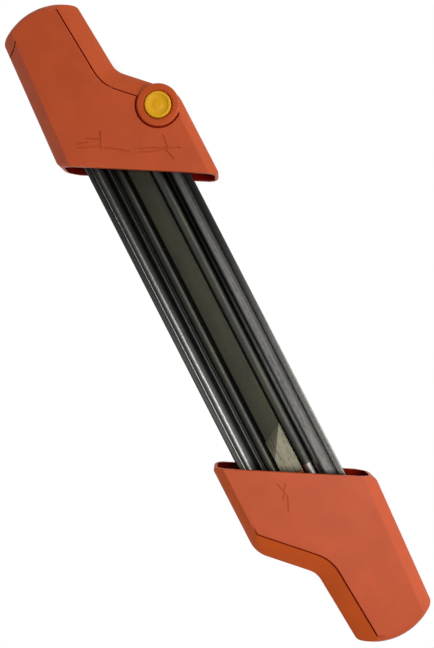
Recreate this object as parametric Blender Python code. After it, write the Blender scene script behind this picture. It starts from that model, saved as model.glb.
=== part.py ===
"""Saw chain filing guide: a flat file and two round files between guide rails, and two handles.

Metres, +Z up. The tool lies on its back. X runs along the shaft, towards the handle with the lock
button, and the origin is under the middle of the shaft, on the plane that the handles rest on.
Both handles have one shape: the lower one is the upper one turned half round about Z.
"""
import math

import bmesh
import bpy
from mathutils import Matrix, Vector

# Clearances and cutting overrun
GAP = 0.0003
OVERRUN = 0.004
MERGE_DISTANCE = 0.000002

# Files: the shaft's length and width follow from them
FILE_LENGTH = 0.200
FILE_CHAMFER = 0.0005
FLAT_WIDTH = 0.0105
FLAT_THICKNESS = 0.0034
FLAT_SHIFT = 0.005
FLAT_TANG_LENGTH = 0.022
FLAT_TANG_TIP = 0.004
ROUND_FILE_RADIUS = 0.0024
ROUND_FILE_SPACING = 0.00075
ROUND_FILE_DEPTH = 0.0022
ROUND_TANG_LENGTH = 0.016
ROUND_TANG_RADIUS = 0.0011
ROUND_FILE_Y = FLAT_WIDTH / 2 + ROUND_FILE_SPACING + ROUND_FILE_RADIUS

# Shaft: its middle lies a little to the grips' outer side of the upper handle
SHAFT_Y = 0.0007
RAIL_WIDTH = 0.0118
RAIL_HEIGHT = 0.009
RAIL_OUTER_WALL = 0.0017
RAIL_INNER_WALL = 0.0014
RAIL_WEB = 0.0013
RAIL_FOOT_WIDTH = 0.0023
RAIL_FOOT_DEPTH = 0.0007
RAIL_GROOVE_WIDTH = 0.0007
RAIL_GROOVE_DEPTH = 0.0006
RAIL_INNER_Y = ROUND_FILE_Y + ROUND_FILE_RADIUS + GAP
RAIL_OUTER_Y = RAIL_INNER_Y + RAIL_WIDTH

# Screws and the bosses round them
SCREW_RADIUS = 0.0013
SCREW_HEAD_RADIUS = 0.0026
SCREW_HEAD = 0.0018
SCREW_SINK = 0.0007
SCREW_REACH = 0.0075
SCREW_RECESS = 0.001
SCREW_RECESS_LENGTH = 0.0032
SCREW_RECESS_WIDTH = 0.0008
BOSS_WALL = 0.0006
FRONT_BOSS_WALL = 0.0014
BOSS_RADIUS = SCREW_HEAD_RADIUS + GAP + BOSS_WALL
FRONT_BOSS_RADIUS = SCREW_RADIUS + GAP + FRONT_BOSS_WALL

# Handle, seen from the front: its mouth is slanted, and its lengths count from the mouth's middle
FILE_HOLD = 0.0172
MOUTH_SLANT = math.radians(30.2)
MOUTH_TAN = math.tan(MOUTH_SLANT)
HANDLE_LENGTH = 0.0946
SHOULDER_AHEAD = 0.0269
NECK_AHEAD = 0.0495
NECK_Y = -0.0124
GRIP_OUTER_Y = 0.0309
GRIP_INNER_Y = -0.0099
END_RADIUS = 0.0314
END_CENTRE_Y = 0.0104
NECK_RADIUS = 0.0105
SHOULDER_RADIUS = 0.014
END_CORNER_RADIUS = 0.004
TIP_RADIUS = 0.0015
BLUNT_TIP_RADIUS = 0.005
LEAST_CORNER_RADIUS = 0.001
SIDE_BOSS_CLEARANCE = 0.0005
SIDE_BOSS_COVER = 0.0037
MOUTH_X = FILE_LENGTH / 2 - FILE_HOLD
SHOULDER_X = MOUTH_X + SHOULDER_AHEAD
NECK_X = MOUTH_X + NECK_AHEAD
HALF_LENGTH = MOUTH_X + HANDLE_LENGTH
SIDE_BOSS_Y = SHAFT_Y + RAIL_OUTER_Y + SIDE_BOSS_CLEARANCE + BOSS_RADIUS
HALF_WIDTH = SIDE_BOSS_Y + BOSS_RADIUS + SIDE_BOSS_COVER

# Handle, across: a round along each side, and a wide band that steps down from the front panel
THICKNESS = 0.026
MID_Z = THICKNESS / 2
WALL = 0.0024
ROUND_HEIGHT = 0.0075
BAND_WIDTH = 0.0092
SIDE_ROUND = 0.0048
OUTER_ROUND = 0.006
END_ROUND = 0.0038
PANEL_STEP = 0.0007
PANEL_SLOPE = 0.0001
PANEL_EDGE = 0.0003

# Places of a handle's screws: in the grip's end, beside the rails and by the neck
END_SCREW_INSET = 0.0148
SIDE_SCREW_AHEAD = 0.0026
NECK_SCREW_AHEAD = 0.0062
NECK_SCREW_INSET = 0.0152
SCREW_PLACES = (
    (HALF_LENGTH - END_SCREW_INSET, END_CENTRE_Y),
    (SHOULDER_X + SIDE_SCREW_AHEAD, SIDE_BOSS_Y),
    (NECK_X + NECK_SCREW_AHEAD, NECK_Y + NECK_SCREW_INSET),
)

# Carriers, the blocks inside the handles, and the rails' ends in them
CARRIER_SETBACK = 0.006
CARRIER_END_WALL = 0.003
CARRIER_BRIDGE = 0.0016
TANG_CLEARANCE = 0.0019
POCKET_OVERLAP = 0.0002
RAIL_END_INSET = 0.006
RAIL_SHORT_HOLD = 0.012
TONGUE_BEYOND_RAIL = 0.008
CARRIER_HALF_HEIGHT = RAIL_HEIGHT / 2 + GAP + CARRIER_BRIDGE
TANG_END_X = FILE_LENGTH / 2 + MOUTH_TAN * ROUND_FILE_Y + ROUND_TANG_LENGTH
CARRIER_END_X = TANG_END_X + TANG_CLEARANCE + CARRIER_END_WALL
FILE_POCKET_HALF_WIDTH = ROUND_FILE_Y - ROUND_FILE_RADIUS + POCKET_OVERLAP
RAIL_LONG_END = CARRIER_END_X - RAIL_END_INSET
RAIL_SHORT_END = MOUTH_X + CARRIER_SETBACK - MOUTH_TAN * RAIL_INNER_Y + RAIL_SHORT_HOLD
CARRIER_CUTBACK_X = RAIL_SHORT_END + TONGUE_BEYOND_RAIL

# Rivets through the rails and the carriers' tongues
RIVET_RADIUS = 0.0015
RIVET_HEAD_RADIUS = 0.0024
RIVET_HEAD = 0.0009
RIVET_FROM_END = 0.008
RIVET_END_SINK = 0.0004

# Lock button, the ring round it, and the fork that its stem locks in
BUTTON_RADIUS = 0.0065
BUTTON_PROUD = 0.0003
BUTTON_RIM = 0.0013
BUTTON_DISH = 0.0008
BUTTON_EDGE = 0.0005
BUTTON_PAD_RADIUS = 0.0022
BUTTON_PAD_RISE = 0.0003
FLANGE_LIP = 0.0014
FLANGE_THICKNESS = 0.0019
RING_WALL = 0.0024
RING_INSET = 0.0012
RING_BEHIND_SHOULDER = 0.003
RING_RISE = 0.0003
RING_CHAMFER = 0.0009
RING_GROOVE_WIDTH = 0.0006
RING_GROOVE_DEPTH = 0.0007
RING_FOOT_Z = 0.0025
TUBE_END_CLEARANCE = 0.0005
FORK_OFFSET_Z = 0.0004
FORK_THICKNESS = 0.0022
FORK_ARM = 0.0037
LOCK_MARGIN = 0.0004
LOCK_RADIUS = 0.003
NECK_STEM_RADIUS = 0.0018
LOWER_STEM_RADIUS = 0.0016
STEM_ENGAGEMENT = 0.0012
FLANGE_RADIUS = BUTTON_RADIUS + FLANGE_LIP
RING_RADIUS = FLANGE_RADIUS + GAP + RING_WALL
BUTTON_X = SHOULDER_X - RING_BEHIND_SHOULDER
BUTTON_Y = RING_RADIUS + RING_INSET - HALF_WIDTH
BUTTON_TRAVEL = FORK_THICKNESS + 2 * LOCK_MARGIN
FORK_RADIUS = LOCK_RADIUS + GAP + FORK_ARM
FORK_Z = MID_Z + FORK_OFFSET_Z

# Return spring of the button, and the post that it stands on
SPRING_LENGTH = 0.0052
SPRING_INSET = 0.0005
SPRING_WIRE_RADIUS = 0.0003
SPRING_TURNS = 4
POST_WALL = 0.0021
SPRING_RADIUS = LOCK_RADIUS - SPRING_INSET
POST_RADIUS = LOWER_STEM_RADIUS + GAP + POST_WALL
POST_TOP_Z = FORK_Z - LOCK_MARGIN - GAP - SPRING_LENGTH - GAP
STEM_FOOT_Z = POST_TOP_Z - STEM_ENGAGEMENT

# Ribs in the shells that carry and stop the carrier
RIB = 0.0018
RIB_BLOCK_Y = 0.006
RIB_TONGUE_Y = 0.015
STOP_HALF_WIDTH = 0.008
STOP_BITE = 0.004
NUB_HALF_WIDTH = 0.004
NUB_LENGTH = 0.0012

# Facets
ARC_STEPS = 4
END_STEPS = 6
ROUND_STEPS = 4
TURNED_STEPS = 28
SCREW_STEPS = 20
BUTTON_STEPS = 40
SPRING_STEPS = 12


def clear_scene():
    for thing in list(bpy.data.objects):
        bpy.data.objects.remove(thing, do_unlink=True)


def make_material(name, colour, roughness, metallic=0.0):
    material = bpy.data.materials.new(name)
    material.use_nodes = True
    shader = material.node_tree.nodes["Principled BSDF"]
    shader.inputs["Base Color"].default_value = (*colour, 1.0)
    shader.inputs["Roughness"].default_value = roughness
    shader.inputs["Metallic"].default_value = metallic
    material.diffuse_color = (*colour, 1.0)
    return material


def add_object(name, mesh_builder, material=None, location=(0, 0, 0)):
    """An object from a bmesh, smooth where its faces meet at a low angle."""
    bmesh.ops.recalc_face_normals(mesh_builder, faces=mesh_builder.faces)
    mesh = bpy.data.meshes.new(name)
    mesh_builder.to_mesh(mesh)
    mesh_builder.free()
    mesh.shade_smooth()
    mesh.set_sharp_from_angle(angle=math.radians(35))
    thing = bpy.data.objects.new(name, mesh)
    thing.location = location
    bpy.context.collection.objects.link(thing)
    if material:
        mesh.materials.append(material)
    return thing


def combine(target, tools, operation):
    """Join tools to the target, or cut them out of it, and drop the tools."""
    for tool in tools:
        step = target.modifiers.new(operation.lower(), "BOOLEAN")
        step.operation = operation
        step.solver = "EXACT"
        step.object = tool
    bpy.context.view_layer.update()
    graph = bpy.context.evaluated_depsgraph_get()
    finished = bpy.data.meshes.new_from_object(target.evaluated_get(graph))
    target.modifiers.clear()
    target.data = finished
    cleaned = bmesh.new()
    cleaned.from_mesh(finished)
    bmesh.ops.remove_doubles(cleaned, verts=cleaned.verts, dist=MERGE_DISTANCE)
    bmesh.ops.dissolve_degenerate(cleaned, edges=cleaned.edges, dist=MERGE_DISTANCE)
    cleaned.to_mesh(finished)
    cleaned.free()
    finished.set_sharp_from_angle(angle=math.radians(35))
    for tool in tools:
        bpy.data.objects.remove(tool, do_unlink=True)


def rings_solid(rings):
    """A closed solid over rings of points, all with the same number of points."""
    solid = bmesh.new()
    rows = [[solid.verts.new(point) for point in ring] for ring in rings]
    count = len(rows[0])
    for low, high in zip(rows, rows[1:]):
        for i in range(count):
            j = (i + 1) % count
            solid.faces.new((low[i], low[j], high[j], high[i]))
    bmesh.ops.triangulate(solid, faces=solid.faces)
    solid.faces.new(list(reversed(rows[0])))
    solid.faces.new(rows[-1])
    return solid


def box_solid(low, high):
    x0, y0, z0 = low
    x1, y1, z1 = high
    corners = [(x0, y0), (x1, y0), (x1, y1), (x0, y1)]
    return rings_solid([[(x, y, z) for x, y in corners] for z in (z0, z1)])


def turned_solid(profile, steps=TURNED_STEPS):
    """A solid turned about Z, from (radius, z) points listed from the bottom up."""
    solid = bmesh.new()
    rows = []
    for radius, z in profile:
        if radius == 0:
            rows.append([solid.verts.new((0, 0, z))])
            continue
        angles = [math.tau * i / steps for i in range(steps)]
        rows.append([solid.verts.new((radius * math.cos(a), radius * math.sin(a), z)) for a in angles])
    for low, high in zip(rows, rows[1:]):
        for i in range(steps):
            j = (i + 1) % steps
            corners = (low[i % len(low)], low[j % len(low)], high[j % len(high)], high[i % len(high)])
            solid.faces.new(list(dict.fromkeys(corners)))
    for end in (rows[0], rows[-1]):
        if len(end) > 1:
            solid.faces.new(end)
    return solid


def cylinder_solid(radius, low, high, steps=TURNED_STEPS):
    return turned_solid([(radius, low), (radius, high)], steps)


def mirrored_z(solid):
    """The solid mirrored in the handles' middle plane."""
    for vertex in solid.verts:
        vertex.co.z = THICKNESS - vertex.co.z
    solid.normal_update()
    return solid


def mouth_x(y):
    return MOUTH_X + MOUTH_TAN * y


def crossing(point_a, along_a, point_b, along_b):
    across = along_a.x * along_b.y - along_a.y * along_b.x
    between = point_b - point_a
    return point_a + along_a * ((between.x * along_b.y - between.y * along_b.x) / across)


def inset_corners(corners, insets):
    """Corners of a closed outline when side i, from corner i to the next, moves in by insets[i]."""
    sides = []
    for i, start in enumerate(corners):
        along = (corners[(i + 1) % len(corners)] - start).normalized()
        inward = Vector((-along.y, along.x))
        sides.append((start + inward * insets[i], along))
    return [crossing(*sides[i - 1], *sides[i]) for i in range(len(sides))]


def rounded_corner(before, corner, after, radius):
    """Points of the arc that rounds a corner, ARC_STEPS + 1 of them."""
    to_before = (before - corner).normalized()
    to_after = (after - corner).normalized()
    half_angle = to_before.angle(to_after) / 2
    reach = radius / math.tan(half_angle)
    centre = corner + (to_before + to_after).normalized() * (radius / math.sin(half_angle))
    start = corner + to_before * reach - centre
    end = corner + to_after * reach - centre
    sweep = start.angle_signed(end)
    return [centre + Matrix.Rotation(-sweep * i / ARC_STEPS, 2) @ start for i in range(ARC_STEPS + 1)]


def handle_corners():
    """Corners of the handle's outline: place, rounding radius, and how far its panel steps up."""
    centre = Vector((HALF_LENGTH - END_RADIUS, END_CENTRE_Y))
    first = math.asin((GRIP_INNER_Y - END_CENTRE_Y) / END_RADIUS)
    last = math.asin((GRIP_OUTER_Y - END_CENTRE_Y) / END_RADIUS)
    corners = [
        (Vector((mouth_x(-HALF_WIDTH), -HALF_WIDTH)), TIP_RADIUS, PANEL_SLOPE),
        (Vector((SHOULDER_X, -HALF_WIDTH)), SHOULDER_RADIUS, PANEL_STEP),
        (Vector((NECK_X, NECK_Y)), NECK_RADIUS, PANEL_STEP),
    ]
    for i in range(END_STEPS + 1):
        angle = first + (last - first) * i / END_STEPS
        place = centre + END_RADIUS * Vector((math.cos(angle), math.sin(angle)))
        is_end = i in (0, END_STEPS)
        step = PANEL_STEP if i == 0 else PANEL_SLOPE
        corners.append((place, END_CORNER_RADIUS if is_end else 0, step))
    corners.append((Vector((mouth_x(HALF_WIDTH), HALF_WIDTH)), BLUNT_TIP_RADIUS, PANEL_SLOPE))
    return corners


def handle_ring(margin, width_share, z, step_share, mouth_reach=0.0):
    """One level of the handle: margin inside its outline, plus a share of each side's rounding."""
    corners = handle_corners()
    widths = [SIDE_ROUND, BAND_WIDTH, BAND_WIDTH] + [END_ROUND] * END_STEPS + [OUTER_ROUND, 0]
    insets = [margin + width * width_share for width in widths]
    insets[-1] = -mouth_reach
    places = inset_corners([place for place, _, _ in corners], insets)
    ring = []
    for i, (_, radius, step) in enumerate(corners):
        before, after = places[i - 1], places[(i + 1) % len(places)]
        height = z - step * step_share
        if radius == 0:
            ring.append((*places[i], height))
            continue
        depth = (insets[i - 1] + insets[i]) / 2
        is_hollow = radius == NECK_RADIUS
        kept = radius + depth if is_hollow else max(radius - depth, LEAST_CORNER_RADIUS)
        ring += [(*point, height) for point in rounded_corner(before, places[i], after, kept)]
    return ring


def handle_levels(margin, top_z, step_share=0.0, mouth_reach=0.0):
    """Levels of a rounded half, from the foot of its rounding to its top."""
    foot = THICKNESS - ROUND_HEIGHT
    levels = []
    for i in range(ROUND_STEPS + 1):
        angle = math.pi / 2 * i / ROUND_STEPS
        height = foot + (top_z - foot) * math.sin(angle)
        drop = step_share * math.sin(angle)
        levels.append(handle_ring(margin, 1 - math.cos(angle), height, drop, mouth_reach))
    return levels


def half_solid():
    """The front half of a handle, before it is hollowed."""
    parting = MID_Z + GAP / 2
    levels = [handle_ring(0, 0, parting, 0)] + handle_levels(0, THICKNESS, step_share=1)
    levels.append(handle_ring(PANEL_EDGE, 1, THICKNESS, 0))
    return rings_solid(levels)


def cavity_solid():
    """The hollow in the front half, open at the mouth and at the parting plane."""
    bottom = handle_ring(WALL, 0, MID_Z - OVERRUN, 0, OVERRUN)
    return rings_solid([bottom] + handle_levels(WALL, THICKNESS - WALL, mouth_reach=OVERRUN))


def carrier_face_x(y):
    return mouth_x(y) + CARRIER_SETBACK


def rib_places(carrier_side):
    """Where two ribs lie on the carrier's block and on a tongue, and how far along they run."""
    tongue_end = CARRIER_END_X if carrier_side > 0 else CARRIER_CUTBACK_X
    return ((-carrier_side * RIB_BLOCK_Y, CARRIER_END_X), (carrier_side * RIB_TONGUE_Y, tongue_end))


def front_ribs(is_upper):
    """Ribs of the front half: two that the carrier lies against, its end stop, and the front nub."""
    top = THICKNESS - WALL / 2
    carrier_top = MID_Z + CARRIER_HALF_HEIGHT
    ribs = []
    for y, end_x in rib_places(1 if is_upper else -1):
        low = (carrier_face_x(y), y - RIB / 2, carrier_top + GAP)
        ribs.append(box_solid(low, (end_x, y + RIB / 2, top)))
    stop_x = CARRIER_END_X + GAP
    stop_low = (stop_x, -STOP_HALF_WIDTH, carrier_top - STOP_BITE)
    ribs.append(box_solid(stop_low, (stop_x + RIB, STOP_HALF_WIDTH, top)))
    if not is_upper:
        nub_end = carrier_face_x(-NUB_HALF_WIDTH) - GAP
        nub_low = (nub_end - NUB_LENGTH, -NUB_HALF_WIDTH, carrier_top - STOP_BITE)
        ribs.append(box_solid(nub_low, (nub_end, NUB_HALF_WIDTH, top)))
    return ribs


def tool_objects(solids):
    return [add_object("tool", solid) for solid in solids]


def at_place(solid, x, y):
    bmesh.ops.translate(solid, vec=(x, y, 0), verts=solid.verts)
    return solid


def front_shell(name, material, is_upper):
    shell = add_object(name, half_solid(), material)
    if is_upper:
        groove_radius = RING_RADIUS + RING_GROOVE_WIDTH
        floor = THICKNESS - RING_GROOVE_DEPTH
        groove = cylinder_solid(groove_radius, floor, THICKNESS + OVERRUN, BUTTON_STEPS)
        combine(shell, tool_objects([at_place(groove, BUTTON_X, BUTTON_Y)]), "DIFFERENCE")
        ring = cylinder_solid(RING_RADIUS, MID_Z + GAP / 2, THICKNESS + RING_RISE, BUTTON_STEPS)
        combine(shell, tool_objects([at_place(ring, BUTTON_X, BUTTON_Y)]), "UNION")
    combine(shell, tool_objects([cavity_solid()]), "DIFFERENCE")
    top = THICKNESS - WALL / 2
    parting = MID_Z + GAP / 2
    bosses = [at_place(cylinder_solid(FRONT_BOSS_RADIUS, parting, top), x, y) for x, y in SCREW_PLACES]
    combine(shell, tool_objects(bosses + front_ribs(is_upper)), "UNION")
    holes = []
    pilot = SCREW_RADIUS + GAP
    pilot_end = MID_Z + SCREW_REACH + GAP
    for x, y in SCREW_PLACES:
        holes.append(at_place(cylinder_solid(pilot, MID_Z - OVERRUN, pilot_end), x, y))
    if is_upper:
        tube_end = MID_Z + CARRIER_HALF_HEIGHT + TUBE_END_CLEARANCE
        tube = cylinder_solid(RING_RADIUS, tube_end, top, BUTTON_STEPS)
        combine(shell, tool_objects([at_place(tube, BUTTON_X, BUTTON_Y)]), "UNION")
        lip = THICKNESS - WALL
        ring_top = THICKNESS + RING_RISE
        hole = BUTTON_RADIUS + GAP
        bore = turned_solid([
            (FLANGE_RADIUS + GAP, MID_Z - OVERRUN),
            (FLANGE_RADIUS + GAP, lip),
            (hole, lip),
            (hole, ring_top - RING_CHAMFER),
            (hole + RING_CHAMFER, ring_top),
            (hole + RING_CHAMFER, ring_top + OVERRUN),
        ], BUTTON_STEPS)
        holes.append(at_place(bore, BUTTON_X, BUTTON_Y))
    combine(shell, tool_objects(holes), "DIFFERENCE")
    return shell


def back_ribs(is_upper):
    """Ribs of the back half: the carrier's section is the same when turned about the shaft."""
    bottom = WALL / 2
    carrier_bottom = MID_Z - CARRIER_HALF_HEIGHT
    ribs = []
    for y, end_x in rib_places(-1 if is_upper else 1):
        high = (end_x, y + RIB / 2, carrier_bottom - GAP)
        ribs.append(box_solid((carrier_face_x(y), y - RIB / 2, bottom), high))
    return ribs


def back_shell(name, material, is_upper):
    shell = add_object(name, mirrored_z(half_solid()), material)
    parting = MID_Z - GAP / 2
    if is_upper:
        column = cylinder_solid(RING_RADIUS, RING_FOOT_Z, parting, BUTTON_STEPS)
        combine(shell, tool_objects([at_place(column, BUTTON_X, BUTTON_Y)]), "UNION")
    combine(shell, tool_objects([mirrored_z(cavity_solid())]), "DIFFERENCE")
    bottom = WALL / 2
    solids = [at_place(cylinder_solid(BOSS_RADIUS, bottom, parting), x, y) for x, y in SCREW_PLACES]
    if is_upper:
        solids.append(at_place(cylinder_solid(POST_RADIUS, bottom, POST_TOP_Z), BUTTON_X, BUTTON_Y))
    combine(shell, tool_objects(solids + back_ribs(is_upper)), "UNION")
    holes = []
    head_hole = SCREW_HEAD_RADIUS + GAP
    shank_hole = SCREW_RADIUS + GAP
    seat = SCREW_SINK + SCREW_HEAD + GAP
    for x, y in SCREW_PLACES:
        end = MID_Z + OVERRUN
        profile = [(head_hole, -OVERRUN), (head_hole, seat), (shank_hole, seat), (shank_hole, end)]
        holes.append(at_place(turned_solid(profile), x, y))
    if is_upper:
        guide_floor = STEM_FOOT_Z - BUTTON_TRAVEL - GAP
        guide = cylinder_solid(LOWER_STEM_RADIUS + GAP, guide_floor, POST_TOP_Z + OVERRUN)
        holes.append(at_place(guide, BUTTON_X, BUTTON_Y))
    combine(shell, tool_objects(holes), "DIFFERENCE")
    return shell


def rail_section():
    """Section of the rail at the tool's left, across the shaft: open towards the front."""
    outer = RAIL_OUTER_Y
    inner = RAIL_INNER_Y
    top = RAIL_HEIGHT / 2
    back = -RAIL_HEIGHT / 2
    floor = back + RAIL_WEB
    foot = outer - RAIL_FOOT_WIDTH
    return [
        (outer, back - RAIL_FOOT_DEPTH),
        (outer, top),
        (outer - RAIL_OUTER_WALL, top),
        (outer - RAIL_OUTER_WALL, floor),
        (inner + RAIL_INNER_WALL, floor),
        (inner + RAIL_INNER_WALL, top),
        (inner, top),
        (inner, back),
        (foot - RAIL_GROOVE_WIDTH, back),
        (foot - RAIL_GROOVE_WIDTH, back + RAIL_GROOVE_DEPTH),
        (foot, back + RAIL_GROOVE_DEPTH),
        (foot, back - RAIL_FOOT_DEPTH),
    ]


def carrier_section():
    """Section of a carrier: a middle block with a tongue in each rail's channel."""
    top = CARRIER_HALF_HEIGHT
    rail_top = RAIL_HEIGHT / 2
    inner = RAIL_INNER_Y
    tongue_outer = RAIL_OUTER_Y - RAIL_OUTER_WALL - GAP
    tongue_inner = inner + RAIL_INNER_WALL + GAP
    tongue_foot = -rail_top + RAIL_WEB + GAP
    half = [
        (tongue_outer, top),
        (tongue_outer, tongue_foot),
        (tongue_inner, tongue_foot),
        (tongue_inner, rail_top + GAP),
        (inner - GAP, rail_top + GAP),
        (inner - GAP, -top),
    ]
    return half + [(-y, -z) for y, z in half]


def along_x(section, start_x, end_x):
    """A solid of a section across the shaft, whose start may depend on y."""
    start = [(start_x(y), SHAFT_Y + y, MID_Z + z) for y, z in section]
    end = [(end_x, SHAFT_Y + y, MID_Z + z) for y, z in section]
    return rings_solid([start, end])


def turned_half_about_x(section):
    return [(-y, -z) for y, z in section]


def rail_rivets():
    """Place and side of the rivets: x, y across the shaft, and +1 where the rail opens to the front."""
    tongue = (RAIL_INNER_Y + RAIL_OUTER_Y) / 2
    far = RAIL_LONG_END - RIVET_FROM_END
    near = RAIL_SHORT_END - RIVET_FROM_END
    return {
        "rail_rivet_upper_left": (far, tongue, 1),
        "rail_rivet_upper_right": (near, -tongue, -1),
        "rail_rivet_lower_left": (-near, tongue, 1),
        "rail_rivet_lower_right": (-far, -tongue, -1),
    }


def rivet_profile():
    """The rivet's (radius, z) points about the shaft's middle plane, for a rail open to the front."""
    rail_back = -RAIL_HEIGHT / 2
    head_top = rail_back - GAP
    end = CARRIER_HALF_HEIGHT - RIVET_END_SINK
    return [
        (RIVET_HEAD_RADIUS - RIVET_HEAD / 2, head_top - RIVET_HEAD),
        (RIVET_HEAD_RADIUS, head_top - RIVET_HEAD / 2),
        (RIVET_HEAD_RADIUS, head_top),
        (RIVET_RADIUS, head_top),
        (RIVET_RADIUS, end),
    ]


def rivet_hole(x, y):
    reach = CARRIER_HALF_HEIGHT + OVERRUN
    hole = cylinder_solid(RIVET_RADIUS + GAP, MID_Z - reach, MID_Z + reach)
    return at_place(hole, x, SHAFT_Y + y)


def guide_rail(name, material, section, start_x, end_x, sign):
    rail = add_object(name, along_x(section, lambda y: start_x, end_x), material)
    holes = [rivet_hole(x, y) for x, y, side in rail_rivets().values() if side == sign]
    combine(rail, tool_objects(holes), "DIFFERENCE")
    return rail


def file_channel(radius, y, z, start_x, end_x):
    """A round solid along the shaft, for a file or its pocket."""
    solid = cylinder_solid(radius, start_x, end_x)
    bmesh.ops.rotate(solid, cent=(0, 0, 0), matrix=Matrix.Rotation(math.pi / 2, 3, "Y"), verts=solid.verts)
    bmesh.ops.translate(solid, vec=(0, SHAFT_Y + y, MID_Z + z), verts=solid.verts)
    return solid


def fork_solids():
    """The upper carrier's fork plate, and the slot that lets the button's stem out towards +X."""
    slot_radius = LOCK_RADIUS + GAP
    tongue_inner_y = SHAFT_Y - RAIL_INNER_Y - RAIL_INNER_WALL - GAP
    arm = box_solid(
        (RAIL_SHORT_END + GAP, BUTTON_Y - FORK_RADIUS, FORK_Z),
        (BUTTON_X, tongue_inner_y, FORK_Z + FORK_THICKNESS),
    )
    end = at_place(cylinder_solid(FORK_RADIUS, FORK_Z, FORK_Z + FORK_THICKNESS), BUTTON_X, BUTTON_Y)
    slot = at_place(cylinder_solid(slot_radius, FORK_Z - OVERRUN, FORK_Z + OVERRUN), BUTTON_X, BUTTON_Y)
    way_out = box_solid(
        (BUTTON_X, BUTTON_Y - slot_radius, FORK_Z - OVERRUN),
        (BUTTON_X + FORK_RADIUS + OVERRUN, BUTTON_Y + slot_radius, FORK_Z + OVERRUN),
    )
    return [arm, end], [slot, way_out]


def carrier(name, material, sign, has_fork):
    """The block in one handle: sign is +1 at the upper handle and -1 at the lower one."""
    block = add_object(name, along_x(carrier_section(), lambda y: sign * carrier_face_x(sign * (SHAFT_Y + y)),
                                     sign * CARRIER_END_X), material)
    reach = sorted((sign * MOUTH_X / 2, sign * (CARRIER_END_X - CARRIER_END_WALL)))
    pocket_z = FLAT_THICKNESS / 2 + GAP
    cuts = [box_solid(
        (reach[0], SHAFT_Y - FILE_POCKET_HALF_WIDTH, MID_Z - pocket_z),
        (reach[1], SHAFT_Y + FILE_POCKET_HALF_WIDTH, MID_Z + pocket_z),
    )]
    for side in (-1, 1):
        y = side * ROUND_FILE_Y
        cuts.append(file_channel(ROUND_FILE_RADIUS + GAP, y, -side * ROUND_FILE_DEPTH, *reach))
    cuts += [rivet_hole(x, y) for x, y, _ in rail_rivets().values() if x * sign > 0]
    cut_x = sorted((sign * CARRIER_CUTBACK_X, sign * (CARRIER_END_X + OVERRUN)))
    cut_y = sorted((SHAFT_Y - sign * (RAIL_INNER_Y), -sign * HALF_WIDTH))
    cut_z = (0, THICKNESS)
    cuts.append(box_solid(*zip(cut_x, cut_y, cut_z)))
    combine(block, tool_objects(cuts), "DIFFERENCE")
    if has_fork:
        plates, slot = fork_solids()
        combine(block, tool_objects(plates), "UNION")
        combine(block, tool_objects(slot), "DIFFERENCE")
    return block


def flat_file(material):
    """Flat file with its tang towards the lower handle."""
    half = FLAT_WIDTH / 2
    tip_half = FLAT_TANG_TIP / 2
    end_x = FILE_LENGTH / 2 + FLAT_SHIFT
    heel_x = -FILE_LENGTH / 2 + FLAT_SHIFT
    outline = [
        (heel_x - FLAT_TANG_LENGTH, -tip_half),
        (heel_x - half + tip_half, -tip_half),
        (heel_x, -half),
        (end_x - FILE_CHAMFER, -half),
        (end_x, -half + FILE_CHAMFER),
    ]
    outline += [(x, -y) for x, y in reversed(outline)]
    low = MID_Z - FLAT_THICKNESS / 2
    levels = [[(x, SHAFT_Y + y, z) for x, y in outline] for z in (low, low + FLAT_THICKNESS)]
    return add_object("flat_file", rings_solid(levels), material)


def round_file(name, material, side):
    """Round file along its own axis, with a tapered tang; its length follows the slanted mouths."""
    shift = MOUTH_TAN * side * ROUND_FILE_Y
    low = -FILE_LENGTH / 2 + shift
    high = FILE_LENGTH / 2 + shift
    solid = turned_solid([
        (ROUND_TANG_RADIUS, low - ROUND_TANG_LENGTH),
        (ROUND_FILE_RADIUS, low),
        (ROUND_FILE_RADIUS, high - FILE_CHAMFER),
        (ROUND_FILE_RADIUS - FILE_CHAMFER, high),
    ])
    bmesh.ops.rotate(solid, cent=(0, 0, 0), matrix=Matrix.Rotation(math.pi / 2, 3, "Y"), verts=solid.verts)
    place = (0, SHAFT_Y + side * ROUND_FILE_Y, MID_Z - side * ROUND_FILE_DEPTH)
    return add_object(name, solid, material, location=place)


def rail_rivet(name, material, x, y, side):
    profile = rivet_profile()
    if side < 0:
        profile = [(radius, -z) for radius, z in reversed(profile)]
    return add_object(name, turned_solid(profile), material, location=(x, SHAFT_Y + y, MID_Z))


def lock_button(material):
    """The button with its flange, the neck and the thick lock part of its stem."""
    flange_top = THICKNESS - WALL - GAP
    flange_bottom = flange_top - FLANGE_THICKNESS
    lock_top = FORK_Z + FORK_THICKNESS + LOCK_MARGIN
    lock_bottom = FORK_Z - LOCK_MARGIN
    top = THICKNESS + RING_RISE + BUTTON_PROUD
    dish = top - BUTTON_DISH
    dish_radius = BUTTON_RADIUS - BUTTON_EDGE - BUTTON_RIM
    solid = turned_solid([
        (LOWER_STEM_RADIUS, STEM_FOOT_Z),
        (LOWER_STEM_RADIUS, lock_bottom),
        (LOCK_RADIUS, lock_bottom),
        (LOCK_RADIUS, lock_top),
        (NECK_STEM_RADIUS, lock_top),
        (NECK_STEM_RADIUS, flange_bottom),
        (FLANGE_RADIUS, flange_bottom),
        (FLANGE_RADIUS, flange_top),
        (BUTTON_RADIUS, flange_top),
        (BUTTON_RADIUS, top - BUTTON_EDGE),
        (BUTTON_RADIUS - BUTTON_EDGE, top),
        (dish_radius + BUTTON_EDGE, top),
        (dish_radius, dish),
        (BUTTON_PAD_RADIUS + BUTTON_EDGE, dish),
        (BUTTON_PAD_RADIUS, dish + BUTTON_PAD_RISE),
        (0, dish + BUTTON_PAD_RISE),
    ], BUTTON_STEPS)
    return add_object("lock_button", solid, material, location=(BUTTON_X, BUTTON_Y, 0))


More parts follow.
